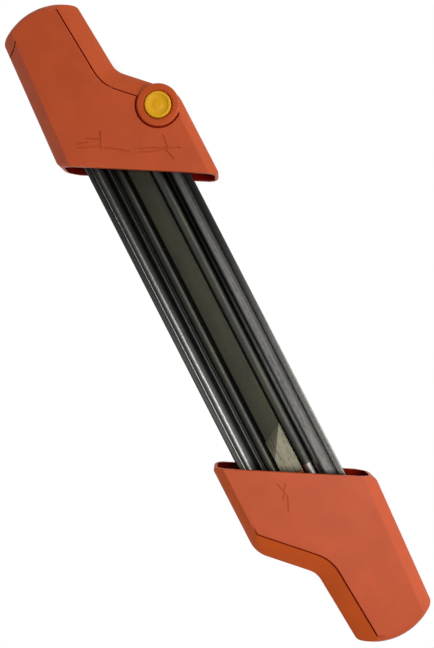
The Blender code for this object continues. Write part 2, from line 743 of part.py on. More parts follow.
def lock_button_spring(material):
    """A helix of wire between the post and the lock part of the stem."""
    low = POST_TOP_Z + GAP + SPRING_WIRE_RADIUS
    rise = SPRING_LENGTH - 2 * SPRING_WIRE_RADIUS
    steps = SPRING_TURNS * SPRING_STEPS
    curve = bpy.data.curves.new("lock_button_spring", "CURVE")
    curve.dimensions = "3D"
    curve.bevel_depth = SPRING_WIRE_RADIUS
    curve.bevel_resolution = 1
    curve.use_fill_caps = True
    line = curve.splines.new("POLY")
    line.points.add(steps)
    for i in range(steps + 1):
        angle = math.tau * i / SPRING_STEPS
        point = (SPRING_RADIUS * math.cos(angle), SPRING_RADIUS * math.sin(angle), low + rise * i / steps, 1)
        line.points[i].co = point
    spring = bpy.data.objects.new("lock_button_spring", curve)
    curve.materials.append(material)
    spring.location = (BUTTON_X, BUTTON_Y, 0)
    bpy.context.collection.objects.link(spring)
    return spring


def handle_screw(name, material, x, y):
    head_top = SCREW_SINK + SCREW_HEAD
    screw = add_object(name, turned_solid([
        (SCREW_HEAD_RADIUS - SCREW_SINK, SCREW_SINK),
        (SCREW_HEAD_RADIUS, SCREW_SINK + SCREW_HEAD / 3),
        (SCREW_HEAD_RADIUS, head_top),
        (SCREW_RADIUS, head_top),
        (SCREW_RADIUS, MID_Z + SCREW_REACH - SCREW_RADIUS),
        (0, MID_Z + SCREW_REACH),
    ], SCREW_STEPS), material, location=(x, y, 0))
    long = SCREW_RECESS_LENGTH / 2
    narrow = SCREW_RECESS_WIDTH / 2
    cross = []
    for half_x, half_y in ((long, narrow), (narrow, long)):
        cross.append(box_solid((-half_x, -half_y, 0), (half_x, half_y, SCREW_SINK + SCREW_RECESS)))
    tools = tool_objects(cross)
    for tool in tools:
        tool.location = screw.location
    combine(screw, tools, "DIFFERENCE")
    return screw


def handle_empty(name, turn):
    empty = bpy.data.objects.new(name, None)
    empty.rotation_euler = (0, 0, turn)
    bpy.context.collection.objects.link(empty)
    return empty


def build():
    clear_scene()
    front_orange = make_material("orange_front", (0.45, 0.075, 0.022), 0.5)
    back_orange = make_material("orange_back", (0.40, 0.065, 0.02), 0.5)
    yellow = make_material("yellow", (0.72, 0.36, 0.04), 0.4)
    rail_steel = make_material("rail_steel", (0.22, 0.22, 0.21), 0.3, 1.0)
    file_steel = make_material("file_steel", (0.09, 0.09, 0.08), 0.45, 1.0)
    black = make_material("carrier_black", (0.03, 0.03, 0.03), 0.55)
    bright = make_material("bright_steel", (0.5, 0.5, 0.5), 0.3, 1.0)

    for side, turn, is_upper in (("upper", 0, True), ("lower", math.pi, False)):
        pieces = [
            front_shell(f"{side}_handle_front_shell", front_orange, is_upper),
            back_shell(f"{side}_handle_back_shell", back_orange, is_upper),
        ]
        for number, (x, y) in enumerate(SCREW_PLACES, start=1):
            pieces.append(handle_screw(f"{side}_handle_screw_{number}", bright, x, y))
        if is_upper:
            pieces += [lock_button(yellow), lock_button_spring(bright)]
        handle = handle_empty(f"{side}_handle", turn)
        for piece in pieces:
            piece.parent = handle

    section = rail_section()
    guide_rail("guide_rail_left", rail_steel, section, -RAIL_SHORT_END, RAIL_LONG_END, 1)
    guide_rail("guide_rail_right", rail_steel, turned_half_about_x(section), -RAIL_LONG_END, RAIL_SHORT_END, -1)
    for name, (x, y, side) in rail_rivets().items():
        rail_rivet(name, bright, x, y, side)
    carrier("upper_carrier", black, 1, has_fork=True)
    carrier("lower_carrier", black, -1, has_fork=False)

    flat_file(file_steel)
    round_file("round_file_left", file_steel, 1)
    round_file("round_file_right", file_steel, -1)


build()
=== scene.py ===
"""Looks of the saw chain filing guide: casings, rails, files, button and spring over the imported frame."""
import math

import bmesh
import bpy
from mathutils import Matrix, Vector


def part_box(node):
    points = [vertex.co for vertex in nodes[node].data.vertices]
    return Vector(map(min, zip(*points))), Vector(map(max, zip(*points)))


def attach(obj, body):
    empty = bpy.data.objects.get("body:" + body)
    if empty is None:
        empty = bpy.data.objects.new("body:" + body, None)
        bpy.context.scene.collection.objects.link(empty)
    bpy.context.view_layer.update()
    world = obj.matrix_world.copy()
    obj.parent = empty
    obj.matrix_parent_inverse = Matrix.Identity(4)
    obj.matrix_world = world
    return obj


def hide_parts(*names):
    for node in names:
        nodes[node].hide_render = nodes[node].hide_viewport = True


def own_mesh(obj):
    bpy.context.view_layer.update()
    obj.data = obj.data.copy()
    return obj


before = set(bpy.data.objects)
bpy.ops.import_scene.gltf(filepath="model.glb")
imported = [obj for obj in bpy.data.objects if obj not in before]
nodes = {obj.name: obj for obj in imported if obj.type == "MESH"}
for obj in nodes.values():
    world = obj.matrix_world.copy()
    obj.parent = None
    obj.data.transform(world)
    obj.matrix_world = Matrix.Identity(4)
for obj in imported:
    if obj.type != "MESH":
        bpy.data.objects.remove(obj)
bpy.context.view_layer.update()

MM = 0.001

# Clearance between pieces, and how far a cut runs past a face
GAP = 0.3 * MM
OVERRUN = 4 * MM

# Sizes taken from the frame
FRONT_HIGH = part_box("upper_handle_front_shell")[1]
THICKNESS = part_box("lower_handle_front_shell")[1].z
MID_Z = THICKNESS / 2
HALF_LENGTH = FRONT_HIGH.x
HALF_WIDTH = FRONT_HIGH.y
RING_TOP = FRONT_HIGH.z
BUTTON_LOW, BUTTON_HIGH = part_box("lock_button")
BUTTON_X = (BUTTON_LOW.x + BUTTON_HIGH.x) / 2
BUTTON_Y = (BUTTON_LOW.y + BUTTON_HIGH.y) / 2
FLANGE_RADIUS = (BUTTON_HIGH.x - BUTTON_LOW.x) / 2
CARRIER_END_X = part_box("upper_carrier")[1].x
CARRIER_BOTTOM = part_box("lower_carrier")[0].z
CARRIER_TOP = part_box("lower_carrier")[1].z
RAIL_LOW, RAIL_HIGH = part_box("guide_rail_left")
RIGHT_RAIL_LOW, RIGHT_RAIL_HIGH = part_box("guide_rail_right")
SHAFT_Y = (RAIL_HIGH.y + RIGHT_RAIL_LOW.y) / 2
SPRING_BOX_LOW, SPRING_BOX_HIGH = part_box("lock_button_spring")
SPRING_LOW = SPRING_BOX_LOW.z
SPRING_HIGH = SPRING_BOX_HIGH.z
SPRING_RADIUS = (SPRING_BOX_HIGH.x - SPRING_BOX_LOW.x) / 2

# Handle, seen from the front: the outline of the upper one. ARC_MARGIN keeps the end's arc off its corners.
MOUTH_TAN = math.tan(math.radians(30.2))
MOUTH_X = HALF_LENGTH - 94.6 * MM
SHOULDER_X = MOUTH_X + 26.9 * MM
NECK_X = MOUTH_X + 49.5 * MM
NECK_Y = -12.4 * MM
GRIP_OUTER_Y = 30.9 * MM
GRIP_INNER_Y = -9.9 * MM
END_RADIUS = 31.4 * MM
END_CENTRE_Y = 10.4 * MM
NECK_RADIUS = 10.5 * MM
SHOULDER_RADIUS = 14 * MM
END_CORNER_RADIUS = 4 * MM
TIP_RADIUS = 1.5 * MM
BLUNT_TIP_RADIUS = 5 * MM
LEAST_CORNER_RADIUS = 0.3 * MM
ARC_MARGIN = 1.15

# Handle, across. A facet starts at FACET_START of the rounding's height and widens with FACET_POWER.
# SHARPENING is the share of its inset by which the shoulder's rounding shrinks.
WALL = 2.4 * MM
ROUND_HEIGHT = 7.5 * MM
BAND_WIDTH = 9.2 * MM
SIDE_ROUND = 4.8 * MM
OUTER_ROUND = 6 * MM
END_ROUND = 3.8 * MM
FACET_START = 0.25
SHARPENING = 0.86
FACET_POWER = 1.25
MOUTH_ROUND = 0.5 * MM
SEAM_CHAMFER = 0.25 * MM
CLOSED_GAP = 0.03 * MM
PANEL_STEP = 0.7 * MM
SEAM_FADE = 14 * MM
SEAM_DEPTH_SHARE = 1.8
# The seam, from the band inwards: places in millimetres, and depths as shares of the panel's step
SEAM_PROFILE = (
    (0.08, SEAM_DEPTH_SHARE),
    (0.7, SEAM_DEPTH_SHARE),
    (0.76, 0.25),
    (0.88, 0.08),
    (1.1, 0.0),
    (1.7, 0.0),
)
SEAM_TOLERANCE = 0.06 * MM
LEVEL_NORMAL = 0.985
END_FADE_SHARES = (1.0, 0.8, 0.5, 0.2)
BAND_MARGIN = 0.05 * MM
ARC_STEPS = 14
END_STEPS = 26
ROUND_STEPS = 26
CAVITY_STEPS = 6

# Inside the handles
BOSS_RADIUS = 3.5 * MM
FRONT_BOSS_RADIUS = 3 * MM
SCREW_RADIUS = 1.3 * MM
SCREW_HEAD_RADIUS = 2.6 * MM
SCREW_SEAT = 2.8 * MM
SCREW_REACH = 7.5 * MM
PAD_WALL = 1 * MM
PAD_STEP = 0.1 * MM
PAD_HEIGHT = 4.5 * MM
CARRIER_SETBACK = 6 * MM
RIB = 1.8 * MM
RIB_BLOCK_Y = 6 * MM
RIB_TONGUE_Y = 15 * MM
RIB_TONGUE_END = CARRIER_END_X - 23.7 * MM
STOP_LOW_Y = -4 * MM
STOP_HIGH_Y = 8 * MM
STOP_BITE = 4 * MM
NUB_HALF_WIDTH = 4 * MM
NUB_LENGTH = 1.2 * MM

# Ring and button
RING_RADIUS = FLANGE_RADIUS + 2.7 * MM
RING_EDGE = 1.1 * MM
RING_GROOVE_WIDTH = 0.8 * MM
RING_GROOVE_DEPTH = 0.9 * MM
# The groove is set off-centre, so its line of painted shade is wider on one side, like a cast shadow.
RING_GROOVE_SHIFT = 0.25 * MM
RING_FOOT_Z = 2.5 * MM
BUTTON_RADIUS = FLANGE_RADIUS - 1.4 * MM
FUNNEL = 0.9 * MM
TUBE_END_Z = CARRIER_TOP + 0.5 * MM
POST_RADIUS = 4 * MM
GUIDE_RADIUS = 1.9 * MM
POST_TOP = SPRING_LOW - GAP
GUIDE_FLOOR = BUTTON_LOW.z - 3.3 * MM
RING_STEPS = 8

# Meshes: steps round turned solids, sharp edges, the least distance between points, the weight of large faces
TURNED_STEPS = 96
BOSS_STEPS = 40
PILOT_STEPS = 32
SHARP_DEGREES = 32
MERGE_DISTANCE = 0.002 * MM
FACE_WEIGHT = 90


def new_object(name, mesh_builder, material=None, sharp_degrees=SHARP_DEGREES):
    """An object from a bmesh, smooth where its faces meet at a low angle."""
    bmesh.ops.recalc_face_normals(mesh_builder, faces=mesh_builder.faces)
    mesh = bpy.data.meshes.new(name)
    mesh_builder.to_mesh(mesh)
    mesh_builder.free()
    mesh.shade_smooth()
    mesh.set_sharp_from_angle(angle=math.radians(sharp_degrees))
    thing = bpy.data.objects.new(name, mesh)
    bpy.context.scene.collection.objects.link(thing)
    if material:
        mesh.materials.append(material)
    return thing


def combine(target, solids, operation, material=None):
    """Join solids to the target, or cut them out of it, with a material of their own where one is given."""
    tools = [new_object("tool", solid, material) for solid in solids]
    for tool in tools:
        step = target.modifiers.new(operation.lower(), "BOOLEAN")
        step.operation = operation
        step.solver = "EXACT"
        step.object = tool
        if material:
            step.material_mode = "TRANSFER"
    bpy.context.view_layer.update()
    graph = bpy.context.evaluated_depsgraph_get()
    finished = bpy.data.meshes.new_from_object(target.evaluated_get(graph))
    target.modifiers.clear()
    target.data = finished
    for tool in tools:
        bpy.data.objects.remove(tool, do_unlink=True)


def finish_mesh(thing, sharp_degrees=SHARP_DEGREES):
    """Clear the tiny edges, flaps and bare points that the cuts leave, and shade flat faces flat."""
    cleaned = bmesh.new()
    cleaned.from_mesh(thing.data)
    bmesh.ops.remove_doubles(cleaned, verts=cleaned.verts, dist=MERGE_DISTANCE)
    bmesh.ops.dissolve_degenerate(cleaned, edges=cleaned.edges, dist=MERGE_DISTANCE)
    flaps = []
    for face in cleaned.faces:
        open_edges = [edge for edge in face.edges if len(edge.link_faces) == 1]
        if len(open_edges) > 1:
            flaps.append(face)
    bmesh.ops.delete(cleaned, geom=flaps, context="FACES")
    bare = [vertex for vertex in cleaned.verts if not vertex.link_faces]
    bmesh.ops.delete(cleaned, geom=bare, context="VERTS")
    cleaned.to_mesh(thing.data)
    cleaned.free()
    thing.data.shade_smooth()
    thing.data.set_sharp_from_angle(angle=math.radians(sharp_degrees))
    weighted = thing.modifiers.new("weighted normals", "WEIGHTED_NORMAL")
    weighted.keep_sharp = True
    weighted.weight = FACE_WEIGHT
    return thing


def rings_solid(rings):
    """A closed solid over rings of points, all with the same number of points."""
    solid = bmesh.new()
    rows = [[solid.verts.new(point) for point in ring] for ring in rings]
    count = len(rows[0])
    for low, high in zip(rows, rows[1:]):
        for i in range(count):
            j = (i + 1) % count
            solid.faces.new((low[i], low[j], high[j], high[i]))
    solid.faces.new(list(reversed(rows[0])))
    solid.faces.new(rows[-1])
    return solid


def box_solid(low, high):
    x0, y0, z0 = low
    x1, y1, z1 = high
    corners = [(x0, y0), (x1, y0), (x1, y1), (x0, y1)]
    return rings_solid([[(x, y, z) for x, y in corners] for z in (z0, z1)])


def circle(steps):
    """The directions round a full turn, each as its cosine and its sine."""
    angles = [math.tau * i / steps for i in range(steps)]
    return [(math.cos(angle), math.sin(angle)) for angle in angles]


def turned_solid(profile, steps=TURNED_STEPS):
    """A solid turned about Z, from (radius, z) points listed from the bottom up."""
    solid = bmesh.new()
    rows = []
    for radius, z in profile:
        if radius == 0:
            rows.append([solid.verts.new((0, 0, z))])
            continue
        rows.append([solid.verts.new((radius * x, radius * y, z)) for x, y in circle(steps)])
    for low, high in zip(rows, rows[1:]):
        for i in range(steps):
            j = (i + 1) % steps
            corners = (low[i % len(low)], low[j % len(low)], high[j % len(high)], high[i % len(high)])
            solid.faces.new(list(dict.fromkeys(corners)))
    for end in (rows[0], rows[-1]):
        if len(end) > 1:
            solid.faces.new(end)
    return solid


def cylinder_solid(radius, low, high, steps=TURNED_STEPS):
    return turned_solid([(radius, low), (radius, high)], steps)


def at_place(solid, x, y, z=0):
    bmesh.ops.translate(solid, vec=(x, y, z), verts=solid.verts)
    return solid


def mirrored_z(solid):
    """The solid mirrored in the handles' middle plane."""
    for vertex in solid.verts:
        vertex.co.z = THICKNESS - vertex.co.z
    bmesh.ops.reverse_faces(solid, faces=solid.faces)
    return solid


def quarter_turn(steps, first=0):
    """The angles of a quarter turn, in steps."""
    return [math.pi / 2 * i / steps for i in range(first, steps + 1)]


def centre_of(node):
    """Where the middle of a CAD solid's box lies, seen from the front."""
    low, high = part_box(node)
    return (low.x + high.x) / 2, (low.y + high.y) / 2


def mouth_x(y):
    return MOUTH_X + MOUTH_TAN * y


def moved_line(start, end, inset):
    """The line from start to end, moved in to its left by the inset."""
    along = (end - start).normalized()
    return start + Vector((-along.y, along.x)) * inset, along


def crossing(line, other):
    """Where two lines meet, each given as a point and a direction."""
    point_a, along_a = line
    point_b, along_b = other
    between = point_b - point_a
    across = along_a.x * along_b.y - along_a.y * along_b.x
    return point_a + along_a * ((between.x * along_b.y - between.y * along_b.x) / across)


def end_crossing(line, radius, is_exit):
    """Where a line goes out of the end's circle, or into it."""
    point, along = line
    between = point - END_CENTRE
    middle = -between.dot(along)
    half = math.sqrt(radius * radius - between.length_squared + middle * middle)
    return point + along * (middle + half if is_exit else middle - half)


def rounded_corner(before, corner, after, radius, steps=ARC_STEPS):
    """Points of the arc that rounds a corner, steps + 1 of them."""
    to_before = (before - corner).normalized()
    to_after = (after - corner).normalized()
    half_angle = to_before.angle(to_after) / 2
    reach = radius / math.tan(half_angle)
    centre = corner + (to_before + to_after).normalized() * (radius / math.sin(half_angle))
    start = corner + to_before * reach - centre
    end = corner + to_after * reach - centre
    sweep = start.angle_signed(end)
    return [centre + Matrix.Rotation(-sweep * i / steps, 2) @ start for i in range(steps + 1)]


END_CENTRE = Vector((HALF_LENGTH - END_RADIUS, END_CENTRE_Y))
FIRST_ANGLE = math.asin((GRIP_INNER_Y - END_CENTRE_Y) / END_RADIUS)
LAST_ANGLE = math.asin((GRIP_OUTER_Y - END_CENTRE_Y) / END_RADIUS)
END_START = END_CENTRE + END_RADIUS * Vector((math.cos(FIRST_ANGLE), math.sin(FIRST_ANGLE)))
END_FINISH = END_CENTRE + END_RADIUS * Vector((math.cos(LAST_ANGLE), math.sin(LAST_ANGLE)))
MOUTH_LOW = Vector((mouth_x(-HALF_WIDTH), -HALF_WIDTH))
MOUTH_HIGH = Vector((mouth_x(HALF_WIDTH), HALF_WIDTH))
SHOULDER = Vector((SHOULDER_X, -HALF_WIDTH))
NECK = Vector((NECK_X, NECK_Y))


def corner_points(corner, line_before, line_after, radius):
    """The rounding of a corner between two lines, and how far it reaches along each."""
    before = corner - line_before[1]
    after = corner + line_after[1]
    half_angle = (before - corner).angle(after - corner) / 2
    return rounded_corner(before, corner, after, radius), radius / math.tan(half_angle)


def meeting_points(line_before, line_after, radius):
    """The rounding where two sides of the outline meet."""
    return corner_points(crossing(line_before, line_after), line_before, line_after, radius)[0]


def kept(rounding, depth):
    """What is left of a corner's rounding at a depth inside the outline."""
    return max(rounding - depth, LEAST_CORNER_RADIUS)


def end_tangent(place):
    """The end circle's tangent at a place on it."""
    outward = (place - END_CENTRE).normalized()
    return place, Vector((-outward.y, outward.x))


def end_arc(first, first_reach, last, last_reach, radius, z, drop):
    """The round end between its two corners; the panel's drop fades out over the first points."""
    from_first = first - END_CENTRE
    from_last = last - END_CENTRE
    low = math.atan2(from_first.y, from_first.x) + ARC_MARGIN * first_reach / radius
    high = math.atan2(from_last.y, from_last.x) - ARC_MARGIN * last_reach / radius
    points = []
    for i in range(END_STEPS + 1):
        angle = low + (high - low) * i / END_STEPS
        share = END_FADE_SHARES[i] if i < len(END_FADE_SHARES) else 0
        place = END_CENTRE + radius * Vector((math.cos(angle), math.sin(angle)))
        points.append((*place, z - drop * share))
    return points


def handle_ring(margin, width_share, z, drop, mouth_inset, facet_share=None):
    """One level of the handle: margin inside its outline, plus a share of each side's rounding or facet."""
    if facet_share is None:
        facet_share = width_share
    side = margin + SIDE_ROUND * facet_share
    band = margin + BAND_WIDTH * facet_share
    end = margin + END_ROUND * width_share
    outer = margin + OUTER_ROUND * facet_share
    radius = END_RADIUS - end
    side_line = moved_line(MOUTH_LOW, SHOULDER, side)
    shoulder_line = moved_line(SHOULDER, NECK, band)
    neck_line = moved_line(NECK, END_START, band)
    outer_line = moved_line(END_FINISH, MOUTH_HIGH, outer)
    mouth_line = moved_line(MOUTH_HIGH, MOUTH_LOW, mouth_inset)
    shoulder_radius = kept(SHOULDER_RADIUS, (side + band) * SHARPENING)
    tip_points = meeting_points(mouth_line, side_line, kept(TIP_RADIUS, (side + mouth_inset) / 2))
    shoulder_points = meeting_points(side_line, shoulder_line, shoulder_radius)
    neck_points = meeting_points(shoulder_line, neck_line, NECK_RADIUS + band)
    blunt_points = meeting_points(outer_line, mouth_line, kept(BLUNT_TIP_RADIUS, (outer + mouth_inset) / 2))
    first = end_crossing(neck_line, radius, True)
    last = end_crossing(outer_line, radius, False)
    first_radius = kept(END_CORNER_RADIUS, (band + end) / 2)
    last_radius = kept(END_CORNER_RADIUS, (end + outer) / 2)
    first_points, first_reach = corner_points(first, neck_line, end_tangent(first), first_radius)
    last_points, last_reach = corner_points(last, end_tangent(last), outer_line, last_radius)
    ring = [(*point, z) for point in tip_points]
    ring.append((SHOULDER_X - SEAM_FADE, -HALF_WIDTH + side, z))
    ring += [(*point, z - drop) for point in shoulder_points + neck_points + first_points]
    ring += end_arc(first, first_reach, last, last_reach, radius, z, drop)
    return ring + [(*point, z) for point in last_points + blunt_points]


def half_solid():
    """The front half of a handle before it is hollowed, with the seam beside its band."""
    parting = MID_Z + CLOSED_GAP / 2
    foot = THICKNESS - ROUND_HEIGHT
    rings = [
        handle_ring(SEAM_CHAMFER, 0, parting, 0, 0),
        handle_ring(0, 0, parting + SEAM_CHAMFER, 0, 0),
    ]
    for angle in quarter_turn(ROUND_STEPS):
        height_share = math.sin(angle)
        z = foot + ROUND_HEIGHT * height_share
        rise = max(0.0, 1 - (THICKNESS - z) / MOUTH_ROUND)
        mouth_inset = MOUTH_ROUND * (1 - math.sqrt(1 - rise * rise))
        facet = max(0.0, (height_share - FACET_START) / (1 - FACET_START)) ** FACET_POWER
        rings.append(handle_ring(0, 1 - math.cos(angle), z, PANEL_STEP * height_share, mouth_inset, facet))
    for inset, depth_share in SEAM_PROFILE:
        extra = inset * MM
        rings.append(handle_ring(extra, 1, THICKNESS, PANEL_STEP * depth_share, MOUTH_ROUND + extra))
    return rings_solid(rings)


def cavity_solid():
    """The hollow in the front half, open at the mouth and at the parting plane."""
    foot = THICKNESS - ROUND_HEIGHT
    top = THICKNESS - WALL
    rings = [handle_ring(WALL, 0, MID_Z - OVERRUN, 0, -OVERRUN)]
    for angle in quarter_turn(CAVITY_STEPS):
        z = foot + (top - foot) * math.sin(angle)
        rings.append(handle_ring(WALL, 1 - math.cos(angle), z, 0, -OVERRUN))
    return rings_solid(rings)


def screw_places():
    """Where the upper handle's screws stand."""
    return [centre_of(f"upper_handle_screw_{number}") for number in (1, 2, 3)]


def carrier_face_x(y):
    return mouth_x(y) + CARRIER_SETBACK


def rib_solids(side, low_z, high_z):
    """Two ribs that the carrier lies against, on one side of its tongues."""
    ribs = []
    tongue_end = CARRIER_END_X if side > 0 else RIB_TONGUE_END
    for y, end_x in ((-side * RIB_BLOCK_Y, CARRIER_END_X), (side * RIB_TONGUE_Y, tongue_end)):
        ribs.append(box_solid((carrier_face_x(y), y - RIB / 2, low_z), (end_x, y + RIB / 2, high_z)))
    return ribs


def facet_height(inset):
    """How high the outer facet is, at an inset from the outline."""
    share = max(0.0, min(1.0, inset / OUTER_ROUND))
    sine = FACET_START + (1 - FACET_START) * share ** (1 / FACET_POWER)
    return THICKNESS - ROUND_HEIGHT * (1 - sine)


# Crease across the facet, from the panel outwards, as places in millimetres
CREASE_PLACES = ((166.2, 24.6), (164.6, 26.2), (163.4, 28.2), (162.6, 30.4), (162.4, 32.5))
CREASE_WIDTH = 0.7 * MM
CREASE_DEPTH = 0.45 * MM

# Moulded strokes on each front panel, narrower at the bottom, with the ends of their middle lines in
# millimetres: a link over a bar on the upper handle, an arrow across a bar on the lower one
STROKE_WIDTH = 0.8 * MM
STROKE_DEPTH = 0.4 * MM
STROKE_BOTTOM_SHARE = 1 / 3
STROKE_TOP_SHARE = 2 / 3
STROKE_STEPS = 6
UPPER_STROKES = (
    ((107.6, 21.4), (106.0, 15.9)),
    ((107.9, 15.8), (105.2, 10.9)),
    ((105.9, 22.0), (101.6, 11.4)),
    ((108.3, 8.2), (100.3, 11.6)),
    ((99.9, 9.6), (93.0, 0.2)),
    ((91.5, -5.0), (89.9, -9.3)),
    ((90.2, -4.4), (87.9, -9.0)),
    ((89.9, -9.3), (83.1, -22.8)),
    ((87.9, -9.0), (85.2, -17.2)),
    ((91.9, -18.3), (89.6, -17.9)),
    ((89.6, -17.9), (86.6, -17.4)),
    ((84.6, -16.4), (79.6, -17.6)),
)
LOWER_STROKES = (
    ((83.9, -9.7), (89.8, -8.5)),
    ((85.6, -6.5), (91.2, -10.4)),
    ((91.2, -8.1), (97.6, -10.9)),
)


def crease_solid():
    """The crease across the facet at the far end's outer corner."""
    along = (MOUTH_HIGH - END_FINISH).normalized()
    inward = Vector((-along.y, along.x))
    bottom, top = [], []
    for side in (CREASE_WIDTH / 2, -CREASE_WIDTH / 2):
        places = CREASE_PLACES if side > 0 else reversed(CREASE_PLACES)
        for x, y in places:
            point = Vector((x, y)) * MM
            inset = inward.dot(point - END_FINISH)
            point.x += side
            bottom.append((*point, facet_height(inset) - CREASE_DEPTH))
            top.append((*point, THICKNESS + OVERRUN))
    return rings_solid([bottom, top])


def stroke_solid(start, end):
    """A stroke with round ends, to be sunk into the front panel."""
    a = Vector(start) * MM
    b = Vector(end) * MM
    along = (b - a).normalized()
    side = Vector((-along.y, along.x))
    levels = ((-STROKE_DEPTH, STROKE_BOTTOM_SHARE), (STROKE_DEPTH, STROKE_TOP_SHARE))
    rings = []
    for height, width_share in levels:
        half = STROKE_WIDTH * width_share
        ring = []
        for centre, first in ((a, 0), (b, 1)):
            for i in range(STROKE_STEPS + 1):
                angle = math.pi * (i / STROKE_STEPS + first)
                point = centre + side * half * math.cos(angle) - along * half * math.sin(angle)
                ring.append((*point, THICKNESS + height))
        rings.append(ring)
    return rings_solid(rings)


def darken_seam(casing):
    """The bottom of the seam takes the casing's second material, the darker orange painted as shade."""
    bottom = THICKNESS - SEAM_DEPTH_SHARE * PANEL_STEP
    for face in casing.data.polygons:
        if face.normal.z > LEVEL_NORMAL and abs(face.center.z - bottom) < SEAM_TOLERANCE:
            face.material_index = 1


def paint_band_shading(casing, material, is_upper):
    """The narrow side, the band outside the seam and the ring take a material of their own: a more saturated,
    less glossy copy of the orange, painted for the lesser sheen these faces catch.
    """
    lines = (moved_line(SHOULDER, NECK, BAND_WIDTH), moved_line(NECK, END_START, BAND_WIDTH))
    button = Vector((BUTTON_X, BUTTON_Y))
    band_index = len(casing.data.materials)
    casing.data.materials.append(material)
    for face in casing.data.polygons:
        place = face.center.xy
        is_side = place.y < SIDE_ROUND - HALF_WIDTH
        is_band = all(along.cross(place - point) < BAND_MARGIN for point, along in lines)
        is_ring = is_upper and (place - button).length < RING_RADIUS + BAND_MARGIN
        if face.material_index == 0 and (is_side or is_band or is_ring):
            face.material_index = band_index


def add_ring(casing, painted_shade_material):
    """The ring round the button, and the groove round its foot, whose faces take the darker orange painted as
    shade.
    """
    groove_radius = RING_RADIUS + RING_GROOVE_WIDTH
    groove = cylinder_solid(groove_radius, THICKNESS - RING_GROOVE_DEPTH, THICKNESS + OVERRUN)
    at_place(groove, BUTTON_X - RING_GROOVE_SHIFT, BUTTON_Y + RING_GROOVE_SHIFT / 2)
    combine(casing, [groove], "DIFFERENCE", painted_shade_material)
    profile = [(RING_RADIUS, MID_Z + GAP / 2)]
    for angle in quarter_turn(RING_STEPS):
        inset = RING_EDGE * (1 - math.cos(angle))
        drop = RING_EDGE * (1 - math.sin(angle))
        profile.append((RING_RADIUS - inset, RING_TOP - drop))
    combine(casing, [at_place(turned_solid(profile), BUTTON_X, BUTTON_Y)], "UNION")


def bosses(radius, low, high):
    """A boss for each screw."""
    return [at_place(cylinder_solid(radius, low, high, BOSS_STEPS), x, y) for x, y in screw_places()]


def front_insides(is_upper):
    """What stands inside a front half: bosses, ribs, the stop behind the carrier and the nub before it."""
    top = THICKNESS - WALL / 2
    boss_top = THICKNESS - WALL + GAP
    solids = bosses(FRONT_BOSS_RADIUS, MID_Z + GAP / 2, boss_top)
    solids += rib_solids(1 if is_upper else -1, CARRIER_TOP + GAP, top)
    stop_x = CARRIER_END_X + GAP
    stop_z = CARRIER_TOP - STOP_BITE
    solids.append(box_solid((stop_x, STOP_LOW_Y, stop_z), (stop_x + RIB, STOP_HIGH_Y, boss_top)))
    if not is_upper:
        nub_x = carrier_face_x(-NUB_HALF_WIDTH) - GAP
        solids.append(box_solid((nub_x - NUB_LENGTH, -NUB_HALF_WIDTH, stop_z), (nub_x, NUB_HALF_WIDTH, top)))
    return solids


def button_bore():
    """The button's hole: wide for its flange, narrow above it, and flared at the ring's top."""
    lip = THICKNESS - WALL
    hole = BUTTON_RADIUS + GAP
    bore = turned_solid([
        (FLANGE_RADIUS + GAP, MID_Z - OVERRUN),
        (FLANGE_RADIUS + GAP, lip),
        (hole, lip),
        (hole, RING_TOP - FUNNEL),
        (hole + FUNNEL / 4, RING_TOP - FUNNEL * 0.6),
        (hole + FUNNEL, RING_TOP),
        (hole + FUNNEL, RING_TOP + OVERRUN),
    ])
    return at_place(bore, BUTTON_X, BUTTON_Y)


def screw_recess():
    """The hole for a screw from behind: a chamfered recess for its head, then its shank."""
    head = SCREW_HEAD_RADIUS + GAP
    shank = SCREW_RADIUS + GAP
    return turned_solid([
        (head + GAP, -OVERRUN),
        (head + GAP, 0),
        (head, GAP),
        (head, SCREW_SEAT),
        (shank, SCREW_SEAT),
        (shank, MID_Z + OVERRUN),
    ], BOSS_STEPS)


def front_casing(name, material, painted_shade_material, band_material, is_upper):
    """A handle's front half; the lower handle's is still to be turned about Z."""
    casing = new_object(name, half_solid(), material)
    if is_upper:
        add_ring(casing, painted_shade_material)
    # The hollow's faces take the darker orange painted as shade.
    combine(casing, [cavity_solid()], "DIFFERENCE", painted_shade_material)
    combine(casing, front_insides(is_upper), "UNION")
    holes = []
    for x, y in screw_places():
        pilot = cylinder_solid(SCREW_RADIUS + GAP, MID_Z - OVERRUN, MID_Z + SCREW_REACH + GAP, PILOT_STEPS)
        holes.append(at_place(pilot, x, y))
    if is_upper:
        tube = cylinder_solid(RING_RADIUS, TUBE_END_Z, THICKNESS - WALL / 2)
        combine(casing, [at_place(tube, BUTTON_X, BUTTON_Y)], "UNION")
        # The crease takes the darker orange painted as shade.
        combine(casing, [crease_solid()], "DIFFERENCE", painted_shade_material)
        holes.append(button_bore())
    strokes = UPPER_STROKES if is_upper else LOWER_STROKES
    holes += [stroke_solid(start, end) for start, end in strokes]
    combine(casing, holes, "DIFFERENCE")
    darken_seam(casing)
    paint_band_shading(casing, band_material, is_upper)
    return finish_mesh(casing)


